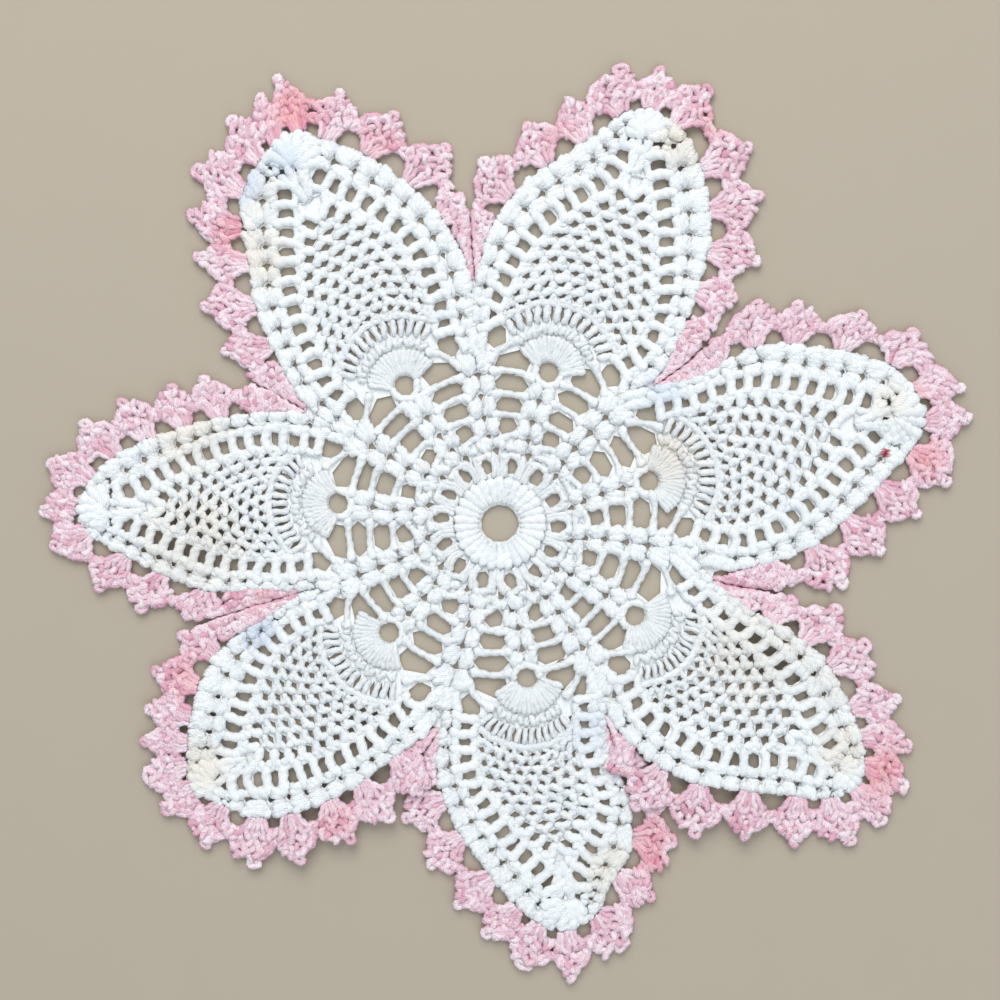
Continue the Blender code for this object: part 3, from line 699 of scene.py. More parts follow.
def paint_tones(mesh, points, shades, patches, pale):
    """Red: how cream or warm the cotton is.  Green: this strand's own shade, with painted shade
    deeper down its flanks.
    Blue: painted cool light on the white cotton, and a painted highlight on the pink picots.
    Alpha: a stray fleck."""
    x, y = points[:, 0], points[:, 1]
    tone = np.zeros((len(points), 4), np.float32)
    tone[:, 0] = patch_amount(patches, x, y)
    tone[:, 1] = np.clip(0.5 + shades / 6, 0.0, 1.0)
    tone[:, 2] = patch_amount(pale, x, y)
    tone[:, 3] = np.hypot(x - FLECK.x, y - FLECK.y) < FLECK.reach
    layer = mesh.color_attributes.new("Tone", "FLOAT_COLOR", "POINT")
    layer.data.foreach_set("color", tone.ravel())


# ---- stitches of the white body --------------------------------------------------------
def centre_ring(skein):
    """The starting ring and the trebles worked into it."""
    _, _, rises, widths = zip(*RING_TREBLE)
    for number in range(RING_TREBLES):
        angle = 360 * (number + 0.5) / RING_TREBLES
        skein.work([polar(radius, angle + lean) for radius, lean, _, _ in RING_TREBLE],
                   rises, widths, 0.5)
    skein.work([polar(7.5, turn) for turn in range(0, 361, 10)], 0.9, 2.2, 0.3)


def lay_shell(skein, eye, middle, corners, lasts):
    """A shell worked over one eye: two wings of posts with a narrow V between them.  The
    heads of a wing run from the middle out to its corner and back along its edge."""
    travel = unit(middle - eye)
    for corner, last in zip(corners, lasts):
        way = unit(corner - middle)
        feet = [eye + travel * 1.45 + way * 0.85, eye - travel * 0.2 + way * 2.4]
        heads = [middle + way * 2.35 - travel * 0.2, corner, last]
        skein.wing(feet, heads)


def spoke_shells(skein, spoke, rows, edges):
    """A spoke's first posts, and shells that stand on each other out from them."""
    for sign in (-1, 1):
        for rows_of_post in FIRST_POSTS:
            points = [polar(r, swung(spoke, r) + degrees(sign * aside / r))
                      for r, aside, _ in rows_of_post]
            skein.work(points, FIRST_RISES, [width for _, _, width in rows_of_post], 0.6)
    before = rows[0]
    for radius, edge in zip(rows[1:], edges[1:]):
        eye = polar(before, swung(spoke, before))
        middle = polar(radius, swung(spoke, radius))
        rise = unit(middle - CENTRE)
        corners = [middle + sign * left_of(rise) * (edge - 1.6) - rise * 0.3
                   for sign in (-1, 1)]
        lasts = [corner - rise * 0.24 * (radius - before) for corner in corners]
        lay_shell(skein, eye, middle, corners, lasts)
        before = radius


def spoke_rows(chart):
    """Rows and half widths of the spoke that ends in a petal's base fan."""
    reach = np.linalg.norm(chart.base - CENTRE) - BASE_HOLE - 1.0
    rows = [radius for radius in SPOKE_ROWS if radius < reach - 3.0] + [reach]
    return rows, list(SPOKE_EDGES[:len(rows) - 1]) + [6.0]


def ladder_bars(skein, side):
    """Chain bars between the gaps of the ladder, and on along the side gaps."""
    marks = list(side.rungs)
    halves = [rung.across for rung in LADDER]
    for row in range(SIDE_GAPS):
        marks.append(side.gap_mark(row + 1))
        halves.append(SIDE_GAP[0])
    bars = [(side.rungs[1], 2.6, 0.3)]
    for number, (low, high) in enumerate(zip(marks, marks[1:])):
        half = halves[2 * number] / 2 if number in (0, 1) \
            else (halves[number] + halves[number + 1]) / 2
        bars.append(((low + high) / 2, half + BAR_PAST,
                     PETAL_BAR_BOW if number > len(LADDER) - 2 else BAR_BOW))
    _, _, rises, widths, petal_widths = zip(*BAR)
    for mark, reach, bow in bars:
        beyond = mark > side.rungs[-1]
        bow = bow * 2 + skein.chance.normal(0.0, 0.45) if beyond else bow
        points = [side.beside_gaps(mark + shift * bow, share * reach)
                  for share, shift, _, _, _ in BAR]
        skein.work(points, rises, petal_widths if beyond else widths, 1.4)


class Column:
    """The column of shells along one side of a petal, row by row."""

    def __init__(self, chart, side):
        self.side = side
        spoke = chart.valleys[side.turn]
        valley = [polar(r, swung(spoke, r)) for r in VALLEY_RADII]
        root = side.border.points[0]
        limit = [p for p in valley if np.dot(root - p, unit(root - CENTRE)) > 1.0]
        self.limit = Path(np.vstack((limit, side.border.points)))
        self.inner, self.places = [], []
        last = 0.0
        for row in range(SIDE_GAPS + 1):
            self.inner.append(side.beside_gaps(side.gap_mark(row + 0.5), 1.5))
            last = max(self.limit.mark_of(self.inner[-1]), last + 2.0)
            self.places.append(last)
        rest, start = self.limit.length - last, self.inner[-1]
        extra = max(int(round(rest / TIP_STEP)), 1)
        goal = lerp(chart.crown, side.border.points[-1], 0.6)
        for step in range(1, extra + 1):
            self.places.append(last + rest * step / (extra + 0.4))
            self.inner.append(lerp(start, goal, step / (extra + 0.4)))
        first = SPOKE_ROWS[-1] - 1.0
        self.eyes = [polar(first, swung(spoke, first))]
        self.eyes += [lerp(inner, self.limit.at(place), 0.46)
                      for inner, place in zip(self.inner, self.places)]

    def edge_point(self, place, depth):
        """A point inside the border, at a place along the column's outer limit."""
        point = self.limit.at(place)
        return point - depth * self.side.outward(self.side.border.mark_of(point))


def column_shells(skein, column):
    """Shells that stand on each other along a petal's side.  Their outer heads make the
    plump scallops of the border.  A stitch closes the eye under most of them."""
    before = max(column.places[0] - 6.0, 0.0)
    inner_before = lerp(column.inner[0], column.eyes[0], 0.5)
    for eye, middle, inner, place in zip(column.eyes, column.eyes[1:], column.inner,
                                         column.places):
        near = inner + unit(middle - inner) * 1.7
        corners = (near, column.edge_point(place, skein.chance.uniform(*SCALLOP)))
        lasts = (lerp(near, inner_before, 0.4),
                 column.edge_point(lerp(place, before, 0.85), 0.8))
        lay_shell(skein, eye, middle, corners, lasts)
        if skein.chance.random() < CLOSED_EYES:
            skein.post(lerp(eye, middle, 0.15), lerp(eye, middle, 0.9), 2.8)
        before, inner_before = place, near


def petal_fan(skein, chart):
    """The fan of trebles at a petal's base, the close row round it, and the open row."""
    _, _, rises, widths = zip(*FAN_TREBLE)
    for number in range(FAN_TREBLES):
        share = number / (FAN_TREBLES - 1) * 2 - 1
        foot = chart.heading + share * (FAN_SPREAD + 18)
        head = chart.heading + share * FAN_SPREAD
        skein.work([polar(radius, lerp(foot, head, way), chart.base)
                    for radius, way, _, _ in FAN_TREBLE], rises, widths, 0.4)
    low, high = -min(chart.reach[-1] + 7, FAN_SPREAD), min(chart.reach[1] + 7, FAN_SPREAD)
    count = int(round(radians(high - low) * CLOSE_OUTER / CLOSE_STEP))
    for number in range(count):
        turn = chart.heading + lerp(low, high, (number + 0.5) / count)
        lean = skein.chance.normal(3.0 if number % 2 else -3.0, 1.5)
        foot = polar(CLOSE_INNER, turn - lean, chart.base)
        head = polar(CLOSE_OUTER + skein.chance.normal(0.0, 0.25), turn + lean, chart.base)
        skein.post(foot, head, 2.8, slim=0.9)
    skein.work([polar(POST_OUTER + 0.6, turn, chart.base)
                for turn in np.linspace(chart.fan_turn(-0.02), chart.fan_turn(1.02), 25)],
               1.2, 3.0, 1.0)
    step = radians(chart.reach[1] + chart.reach[-1]) * POST_OUTER / LOOP_ROWS
    for number in range(LOOP_ROWS + 1):
        turn = chart.fan_turn(number / LOOP_ROWS)
        foot, head = (polar(r, turn + lean, chart.base)
                      for r, lean in ((POST_INNER, 1.2), (POST_OUTER, -1.2)))
        skein.post(foot, head, 0.76 * step, bow=skein.chance.normal(0.0, 0.25), slim=0.86)
    skein.work([polar(BASE_HOLE + 1.7, chart.heading + turn, chart.base)
                for turn in (78, 110, 145, 180, 215, 250, 282)], 1.2, 3.3, 0.5)


def loop_line(chart, row):
    """Heads of one row's single crochets, from the petal's left side to its right."""
    if row == 0:
        return [polar(POST_OUTER + 0.4, chart.fan_turn(share), chart.base)
                for share in np.linspace(1.0, 0.0, LOOP_ROWS + 1)]
    ends = []
    for turn in (1, -1):
        side = chart.sides[turn]
        ends.append(side.beside_gaps(side.gap_mark(row + 0.5), -4.5))
    first = chart.base + (POST_OUTER + 0.4) * chart.axis
    apex = lerp(first, chart.last_loop, row / LOOP_ROWS)
    control = 2 * apex - (ends[0] + ends[1]) / 2
    count = LOOP_ROWS + 1 - row
    if count == 1:
        return [apex]
    line = Path([(1 - t) ** 2 * ends[0] + 2 * t * (1 - t) * control + t * t * ends[1]
                 for t in np.linspace(0, 1, 25)])
    return [line.at(line.length * k / (count - 1)) for k in range(count)]


def loop_cells(chart):
    """Each chain loop: the two heads that it hangs between, and the head that catches it."""
    line = loop_line(chart, 0)
    for row in range(1, LOOP_ROWS + 1):
        following = loop_line(chart, row)
        yield from zip(line, line[1:], following)
        line = following


def petal_loops(skein, chart):
    """Rows of chain loops, each caught in the row above by a single crochet."""
    for a, b, head in loop_cells(chart):
        climb = head - (a + b) / 2
        width = min(LOOP_WIDTH, 0.66 * np.linalg.norm(b - a), 0.76 * np.linalg.norm(climb))
        tilt = skein.chance.normal(0.0, 0.3, 2)
        crown = (a + b) / 2 + climb * 0.40 + tilt
        skein.work([a, lerp(a, b, 0.22) + climb * 0.25, crown,
                    lerp(a, b, 0.78) + climb * 0.25, b],
                   (1.2, 1.5, 1.35, 1.5, 1.2), width, 0.8)
        skein.post(crown - climb * 0.10, head + climb * 0.06, min(width * 1.12, LOOP_WIDTH),
                   slim=1.0)


def side_chains(skein, chart):
    """The chain on either side that the ends of the loops are caught in."""
    for side in chart.sides.values():
        skein.work([side.beside_gaps(side.gap_mark(half / 2 + 0.5), -3.5 - 0.9 * (half % 2))
                    for half in range(2 * SIDE_GAPS + 1)], 1.1, 3.4, 0.5)


def tip_puff(skein, chart, columns):
    """The last shells of all, which close a petal's tip over the crown."""
    tip = chart.sides[1].border.points[-1]
    way = unit(tip - chart.crown)
    room = np.linalg.norm(tip - chart.crown)
    foot = chart.crown + way * 2.4
    for turn in TIP_POSTS:
        direction = cos(radians(turn)) * way + sin(radians(turn)) * left_of(way)
        head = foot + direction * (room - 2.9 - 0.03 * abs(turn))
        skein.post(foot + direction * 0.8 - way, head, 4.6)
    for turn in (1, -1):
        top = columns[turn].inner[SIDE_GAPS]
        points = [top, lerp(top, chart.last_loop, 0.5) + way, chart.last_loop]
        skein.work(points, (1.2, 1.5, 1.3), 3.6)
        side = foot + left_of(way) * 2.4 * turn - way * 0.6
        skein.post(chart.last_loop + chart.across * 0.9 * turn, side, 3.4)


# ---- the felt under the stitches -------------------------------------------------------
HEXAGON = ((1.0, 0.0), (0.55, 1.0), (-0.55, 1.0), (-1.0, 0.0), (-0.55, -1.0), (0.55, -1.0))
LENS = ((1.0, 0.2), (0.4, 1.0), (-0.4, 1.0), (-1.0, 0.2), (-0.9, -0.6), (0.0, -0.9), (0.9, -0.6))
SLACK = (1.1, 0.9)      # how far openings in the felt are drawn back, across and along


def line_hole(corners, line, mark, across, along):
    """An opening across a line, counter-clockwise."""
    direction = line.along(mark)
    side = -left_of(direction)
    middle = line.at(mark)
    return [middle + side * (across + SLACK[0]) * a + direction * (along + SLACK[1]) * b
            for a, b in corners]


def diamond(middle, direction, across, along):
    """A diamond opening, counter-clockwise."""
    up = left_of(direction)
    return [middle + direction * across, middle + up * along,
            middle - direction * across, middle - up * along]


def round_hole(middle, radius, corners):
    return [polar(radius, 360 * step / corners, middle) for step in range(corners)]


def eye_holes(eyes, chance):
    """The narrow triangles between the two wings of each shell, counter-clockwise."""
    for eye, middle in zip(eyes, eyes[1:]):
        travel, size = unit(middle - eye), chance.uniform(0.75, 1.1)
        out = left_of(travel) * EYE[0] * size
        yield [middle - travel * EYE[1] * size, middle + travel * 0.4 - out,
               middle + travel * 1.1, middle + travel * 0.4 + out]


def felt_holes():
    """Outlines of every opening in the white felt."""
    chance = np.random.default_rng(31)
    holes = [round_hole(CENTRE, CENTRE_HOLE + 0.4, 24)]
    for chart in CHART:
        holes.append(round_hole(chart.base, BASE_HOLE + 0.6, 12))
        rows, _ = spoke_rows(chart)
        for spoke, radii in ((chart.spoke, rows[:-1]), (chart.valleys[1], SPOKE_ROWS[:-1])):
            eyes = [polar(r, swung(spoke, r)) for r in (radii[0] - 3.0, *radii)]
            holes.extend(eye_holes(eyes, chance))
        for side in chart.sides.values():
            for rung, mark in zip(LADDER, side.rungs):
                if rung.across:
                    holes.append(line_hole(HEXAGON, side.gaps, mark, rung.across, rung.along))
            for row in range(1, SIDE_GAPS + 1):
                holes.append(line_hole(LENS, side.gaps, side.gap_mark(row), *SIDE_GAP))
            holes.extend(eye_holes(Column(chart, side).eyes[:-1], chance))
        for number in range(LOOP_ROWS):
            turn = chart.fan_turn((number + 0.5) / LOOP_ROWS)
            middle = polar((POST_INNER + POST_OUTER) / 2, turn, chart.base)
            holes.append(diamond(middle, unit(middle - chart.base), *SLIT))
        for a, b, head in loop_cells(chart):
            middle = (a + b) / 2
            span, climb = np.linalg.norm(b - a), np.linalg.norm(head - middle)
            holes.append(diamond(middle, unit(b - a), span * LOOP_HOLE[0],
                                 climb * LOOP_HOLE[1]))
    return holes


def body_border():
    """Outline of the white felt, drawn in under the border's stitches."""
    border = []
    for chart in CHART:
        for turn in (-1, 1):
            side = chart.sides[turn]
            marks = np.arange(2.0, side.border.length, 3.0)
            for mark in marks if turn < 0 else marks[::-1]:
                border.append(side.border.at(mark) - 2.4 * side.outward(mark))
    return border


def cut_sheet(outline, holes):
    """Flat corners and triangles of an outline with openings cut out of it."""
    points, loops = [], []
    for loop in [outline] + holes:
        loops.append(list(range(len(points), len(points) + len(loop))))
        points.extend(loop)
    flat, _, triangles, _, _, sources = delaunay_2d_cdt(
        [Vector(point) for point in points], [], loops, 1, 1e-4)
    kept = [corners for corners, source in zip(triangles, sources) if source == [0]]
    return np.array(flat), kept


def closed_sheet(name, points, heights, faces, rise, thickness):
    """A closed sheet of even thickness over flat faces: both sides and the cut edges."""
    used = sorted({corner for face in faces for corner in face})
    number = {corner: new for new, corner in enumerate(used)}
    faces = [[number[corner] for corner in face] for face in faces]
    low = np.array([(*points[corner], heights[corner] + rise) for corner in used])
    count = len(used)
    edges = [edge for face in faces for edge in zip(face, face[1:] + face[:1])]
    inside = set(edges)
    walls = [(a, b, b + count, a + count) for a, b in edges if (b, a) not in inside]
    mesh = bpy.data.meshes.new(name)
    mesh.from_pydata(np.vstack((low, low + (0.0, 0.0, thickness))) * MM, [],
                     [face[::-1] for face in faces]
                     + [[corner + count for corner in face] for face in faces] + walls)
    return placed(name, mesh)


def flat_area(points, faces):
    """Area of flat faces, in square metres."""
    area = 0.0
    for face in faces:
        x, y = np.array([points[corner] for corner in face]).T
        area += abs(np.dot(x, np.roll(y, -1)) - np.dot(y, np.roll(x, -1))) / 2
    return area * MM * MM


# ---- stitches of the pink edging -------------------------------------------------------
class Edge:
    """The edging of one petal.  Places run from its clockwise valley root over the tip
    to the other root, and depths run outwards from the white border."""

    def __init__(self, index):
        self.chart = CHART[index]
        self.sides = self.chart.sides
        self.others = {-1: CHART[index - 1].sides[1],
                       1: CHART[(index + 1) % len(CHART)].sides[-1]}
        self.tip = self.sides[-1].border.length
        self.whole = self.tip + self.sides[1].border.length
        fans = [float(mark) for mark in self.sides[-1].form.fans]
        fans += [self.whole - mark for mark in reversed(self.sides[1].form.fans)]
        self.stops = [0.0] + fans + [self.whole]
        self.places = np.linspace(0.0, self.whole, int(self.whole / 1.5))
        self.rooms = np.array([self.room(place) for place in self.places])

    def fans(self):
        """Each fan: its place, half widths to either side, depth and lean."""
        for before, middle, after in zip(self.stops, self.stops[1:], self.stops[2:]):
            side, _ = self.side_at(middle)
            low = min((middle - before) / 2, FULL_PITCH / 2)
            high = min((after - middle) / 2, FULL_PITCH / 2)
            deep = min(FAN[0].outer * self.scale(middle), self.most(middle))
            yield middle, low, high, deep, side.form.lean

    def side_at(self, place):
        if place <= self.tip:
            return self.sides[-1], max(place, 0.0)
        return self.sides[1], max(self.whole - place, 0.0)

    def direction(self, place):
        side, distance = self.side_at(place)
        outward = side.outward(distance)
        turn = smooth(1 - (side.border.length - distance) / TIP_FAN_TURN)
        return unit(outward + turn * (self.chart.axis - outward))

    def room(self, place):
        """How deep the edging may be beside the neighbouring petal."""
        side, distance = self.side_at(place)
        other = self.others[side.turn]
        in_lap = LAP_FULL < distance < TUCK_UNTIL
        most = FAN[0].outer * 1.2
        if side.laps and in_lap:
            return most
        reach = np.arange(PIECE_GAP, most, 0.25)
        points = side.border.at(distance) + reach[:, None] * self.direction(place)
        to_other = other.border.nearest(points)[0]
        to_own = np.full_like(reach, TUCK_CLEAR) if side.tucked and in_lap \
            else reach + 2 * VALLEY_CLEAR
        full = to_other < to_own
        return reach[int(np.argmax(full))] if full.any() else most

    def near_tip(self, place):
        side, distance = self.side_at(place)
        return float(smooth(1 - (side.border.length - distance) / FULL_PITCH))

    def scale(self, place):
        side, _ = self.side_at(place)
        return lerp(side.form.edging, self.chart.petal.tip_edging, self.near_tip(place))

    def most(self, place):
        return np.interp(place, self.places, self.rooms)

    def spot(self, place, depth, lean=0.0):
        """Point and height at a place and a depth, leaning towards the tip."""
        side, distance = self.side_at(place)
        drift = lean * depth / FAN[0].outer * (1 - self.near_tip(place)) * -side.turn
        side, distance = self.side_at(place + drift)
        depth = max(min(depth, self.most(place + drift) - 0.7), -0.8)
        point = side.border.at(distance) + depth * self.direction(place + drift)
        lift = float(self.chart.lap(side, np.array(distance)))
        return point, lift + float(self.chart.ridges(point)[0])

    def spots(self, spots, lean=0.0):
        pairs = [self.spot(place, depth, lean) for place, depth in spots]
        return [point for point, _ in pairs], [height for _, height in pairs]

    def lay(self, skein, spots, rises, widths, lean=0.0, wander=0.8):
        points, heights = self.spots(spots, lean)
        skein.lay(points, heights, rises, widths, wander)


# Rows of short stitches in a fan: depth, share of the half width, stitches and rise.
EdgingRow = namedtuple("EdgingRow", "depth share count rise")
EDGING_ROWS = (
    EdgingRow(6.3, 0.84, 5, 1.5),
    EdgingRow(8.8, 0.92, 6, 1.3),
    EdgingRow(11.0, 0.70, 5, 1.6),
    EdgingRow(13.3, 0.42, 3, 1.8),
)
SWAY, SHORT = 1.15, 2.0     # how far a short stitch leans to one side, and half its length
SHALLOW = 9.0           # a fan with less room than this is worked as a plain strip
FAN_FEET = (-1.0, -0.6, -0.2, 0.2, 0.6, 1.0)    # posts of a fan, across it
STRIP_STEP, STRIP_ROW = 2.4, 3.6    # from stitch to stitch of a strip, along and across
# The chain over a fan, on either side: share of the half width, depth, rise, width.
SHOULDER = ((0.94, 8.6, 1.2, 2.9), (0.72, 11.2, 1.5, 3.2), (0.38, 13.2, 1.5, 2.9))
# The neck of its picot: distance to either side, depth short of the tip, rise.
NECK = ((1.5, 5.8, 1.3), (1.0, 3.6, 1.6), (0.8, 1.2, 1.6))
KNOB, KNOB_DEPTH = 1.2, 1.7     # radius of the curl at its end, and how far short of the tip
KNOB_RISES = (1.2, 1.4, 1.6, 1.7, 1.8, 1.8, 1.6)
# The felt inside a fan: half its foot and the foot's depth, then shares and depths above.
FELT_FOOT, FELT_ABOVE = (2.4, 0.7), ((0.66, 8.6), (0.28, 12.4))


def short_stitch(skein, edge, place, depth, number, rise, lean=0.0, half=SHORT):
    """One short stitch of the edging; every other one leans the other way."""
    sway = (SWAY if number % 2 else -SWAY) + skein.chance.normal(0.0, 0.45)
    depth = depth + skein.chance.normal(0.0, 0.3)
    bulge = skein.chance.normal(0.35, 0.15)
    edge.lay(skein, [(place - sway, depth - half), (place + 0.2 * sway, depth),
                     (place + sway, depth + half)],
             (rise - 0.2, rise + bulge, rise), (2.4, 3.3, 2.8), lean)


def edging_fan(skein, edge, middle, low, high, deep, lean):
    """One fan: posts from one place in the border, rows of short stitches that lean left
    and right in turn, a chain over them and a curled picot a little to one side."""
    deep = deep + skein.chance.uniform(-1.0, 0.8)
    point = middle + skein.chance.uniform(-2.4, 2.4)
    grow = deep / FAN[0].outer
    if deep < SHALLOW:
        close_strip(skein, edge, middle - low, middle + high)
        return
    for share in FAN_FEET:
        half = 0.76 * (low if share < 0 else high)
        foot = (middle + share * 2.3, -0.9)
        head = (middle + share * half, 6.4 * grow)
        knee = (lerp(foot[0], head[0], 0.34), 2.6 * grow)
        edge.lay(skein, [foot, knee, head], (1.6, 1.7, 1.3), (2.3, 2.7, 2.9), lean)
    for row in EDGING_ROWS:
        for number in range(row.count):
            share = ((number + 0.5) / row.count * 2 - 1) * row.share
            place = middle + share * (low if share < 0 else high)
            short_stitch(skein, edge, place, row.depth * grow, number, row.rise, lean)
    for share, half in ((-1, low), (1, high)):
        chain = [(middle + share * wide * half, depth * grow) for wide, depth, _, _ in SHOULDER]
        _, _, rises, widths = zip(*SHOULDER)
        edge.lay(skein, chain + [(point + share * 1.4, deep - 4.4)],
                 (*rises, 1.5), (*widths, 2.8), lean, 1.4)
    turn = np.linspace(-0.5, 1.6, len(KNOB_RISES)) * pi + skein.chance.normal(0.0, 0.4)
    knob = [(point + KNOB * cos(t), deep - KNOB_DEPTH + KNOB * sin(t)) for t in turn]
    edge.lay(skein, knob, KNOB_RISES, 2.7, lean)
    for share in (-1, 1):
        edge.lay(skein, [(point + share * aside, deep - short) for aside, short, _ in NECK],
                 [rise for _, _, rise in NECK], 2.8, lean)


def edging_bridges(skein, edge):
    """Stitches that carry the edging from one fan to the next, and into the valleys."""
    last = len(edge.stops) - 2
    for number, (low, high) in enumerate(zip(edge.stops, edge.stops[1:])):
        if number in (0, last):
            close_strip(skein, edge, low + (1.0 if number else 0.8),
                        high - (0.8 if number else 1.0))
            continue
        half = (high - low) / 2
        free = min(2 * half / FULL_PITCH, 1.0)
        middle = (low + high) / 2
        grow = edge.scale(middle)
        inner = FAN[-1].inner * free * grow
        outer = (TIGHT_NOTCH + free * (FAN[-1].outer - TIGHT_NOTCH)) * grow
        outer = min(outer, edge.most(middle))
        rows = max(int(round((outer - inner) / 4.0)), 1)
        for row in range(rows):
            depth = inner + (row + 0.5) * (outer - inner) / rows
            for step in (-1, 0, 1):
                place = middle + step * 0.3 * min(half, FULL_PITCH / 2)
                short_stitch(skein, edge, place, depth, step, 1.2)
        reach = 0.5 * half
        for ends, sag, rise in ((inner + 0.6, 0.3, 1.0), (outer - 0.4, -0.8, 1.3)):
            edge.lay(skein, [(middle - reach, ends), (middle, ends + sag),
                             (middle + reach, ends)], rise, 2.9, wander=0.8)


def close_strip(skein, edge, low, high):
    """Short stitches close together between two places, as deep as there is room, over
    cords that run along the border and under a cord along the outer edge."""
    count = max(int((high - low) / STRIP_STEP), 2)
    steps = np.linspace(low, high, count + 1)
    depths = [min(edge.most(place), VALLEY_DEPTH) for place in steps]
    for level in np.arange(1.0, VALLEY_DEPTH, STRIP_STEP):
        spots = [(place, level) for place, depth in zip(steps, depths) if depth > level + 1.2]
        if len(spots) > 1:
            edge.lay(skein, spots, 0.9, 3.2, wander=0.6)
    for step, (place, depth) in enumerate(zip(steps, depths)):
        if depth < STRIP_ROW:
            edge.lay(skein, [(place - 1.6, 0.3 * depth), (place, 0.4 * depth),
                             (place + 1.8, 0.3 * depth)], 1.3, min(depth + 1.0, 3.0))
            continue
        rows = max(int(round(depth / STRIP_ROW)), 1)
        for row in range(rows):
            short_stitch(skein, edge, place, (depth - 0.6) * (row + 0.5) / rows, step + row,
                         1.4, half=min(0.6 * depth / rows, SHORT))
    edge.lay(skein, [(place, depth - 1.1) for place, depth in zip(steps, depths)],
             1.3, 2.9, wander=0.5)


def pink_felt(edges):
    """Flat corners, heights and faces of the felt inside every full fan."""
    points, heights, faces = [], [], []
    for edge in edges:
        for middle, low, high, deep, lean in edge.fans():
            if deep < SHALLOW:
                continue
            grow = deep / FAN[0].outer
            half, foot = FELT_FOOT
            corners = [(middle - half, foot), (middle + half, foot)]
            corners += [(middle + share * high, depth * grow) for share, depth in FELT_ABOVE]
            corners += [(middle - share * low, depth * grow)
                        for share, depth in reversed(FELT_ABOVE)]
            flat, lifts = edge.spots(corners, lean)
            turned = np.roll(flat, -1, axis=0)
            area = sum(a[0] * b[1] - b[0] * a[1] for a, b in zip(flat, turned))
            order = range(6) if area > 0 else range(5, -1, -1)
            start = len(points)
            points.extend(flat)
            heights.extend(lifts)
            face = [start + corner for corner in order]
            faces.extend([face[0], a, b] for a, b in zip(face[1:], face[2:]))
    return points, heights, faces


# ---- materials -------------------------------------------------------------------------
def add_node(tree, kind, settings=None, inputs=None):
    """A node with its settings, and its inputs set or linked."""
    node = tree.nodes.new(kind)
    for key, value in (settings or {}).items():
        setattr(node, key, value)
    for key, value in (inputs or {}).items():
        if isinstance(value, bpy.types.NodeSocket):
            tree.links.new(value, node.inputs[key])
        else:
            node.inputs[key].default_value = value
    return node


def maths(tree, operation, *values, clamp=False):
    """Result of a maths node on numbers and sockets."""
    return add_node(tree, "ShaderNodeMath", {"operation": operation, "use_clamp": clamp},
                    dict(enumerate(values))).outputs[0]


def mixed(tree, share, one, other):
    """Colour a share of the way from one to another."""
    return add_node(tree, "ShaderNodeMix", {"data_type": "RGBA"},
                    {0: share, 6: one, 7: other}).outputs[2]


def texture(tree, kind, **inputs):
    """Grey value of a texture at each place on the object."""
    names = {key.replace("_", " "): value for key, value in inputs.items()}
    names["Vector"] = add_node(tree, "ShaderNodeTexCoord").outputs["Object"]
    return add_node(tree, kind, None, names).outputs["Fac"]


def blank_material(name):
    """A new material and its empty node tree."""
    material = bpy.data.materials.new(name)
    material.use_nodes = True
    material.node_tree.nodes.clear()
    return material, material.node_tree


def coat(tree, inputs):
    """The shader that the eye sees, with its constants on its own sockets."""
    shader = add_node(tree, "ShaderNodeBsdfPrincipled", None, inputs)
    add_node(tree, "ShaderNodeOutputMaterial", None, {"Surface": shader.outputs[0]})


def ply_pattern(tree, yarn, wobble):
    """Height of the plies of a strand, between the V-shaped loops of its chain."""
    course = add_node(tree, "ShaderNodeUVMap", {"uv_map": "Yarn"}).outputs["UV"]
    round_it, along, _ = add_node(tree, "ShaderNodeSeparateXYZ", None, {0: course}).outputs
    # plies: a wave round the strand that also winds along it
    turn = maths(tree, "MULTIPLY_ADD", round_it, 2 * pi * yarn.plies, wobble)
    winding = maths(tree, "MULTIPLY_ADD", along, 2 * pi * MM / yarn.lay, turn)
    plies = maths(tree, "MULTIPLY_ADD", maths(tree, "SINE", winding), 0.5, 0.5)
    # loops of the chain: a V that opens along the strand
    arms = maths(tree, "PINGPONG", round_it, 0.25)
    slant = maths(tree, "MULTIPLY_ADD", arms, 2 * pi * 4 * VEE_SLANT, wobble)
    vees = maths(tree, "MULTIPLY_ADD", along, 2 * pi / VEE_PITCH, slant)
    loops = maths(tree, "MULTIPLY_ADD", maths(tree, "SINE", vees), 0.9, 0.9)
    return maths(tree, "SMOOTH_MIN", plies, loops, 0.3)


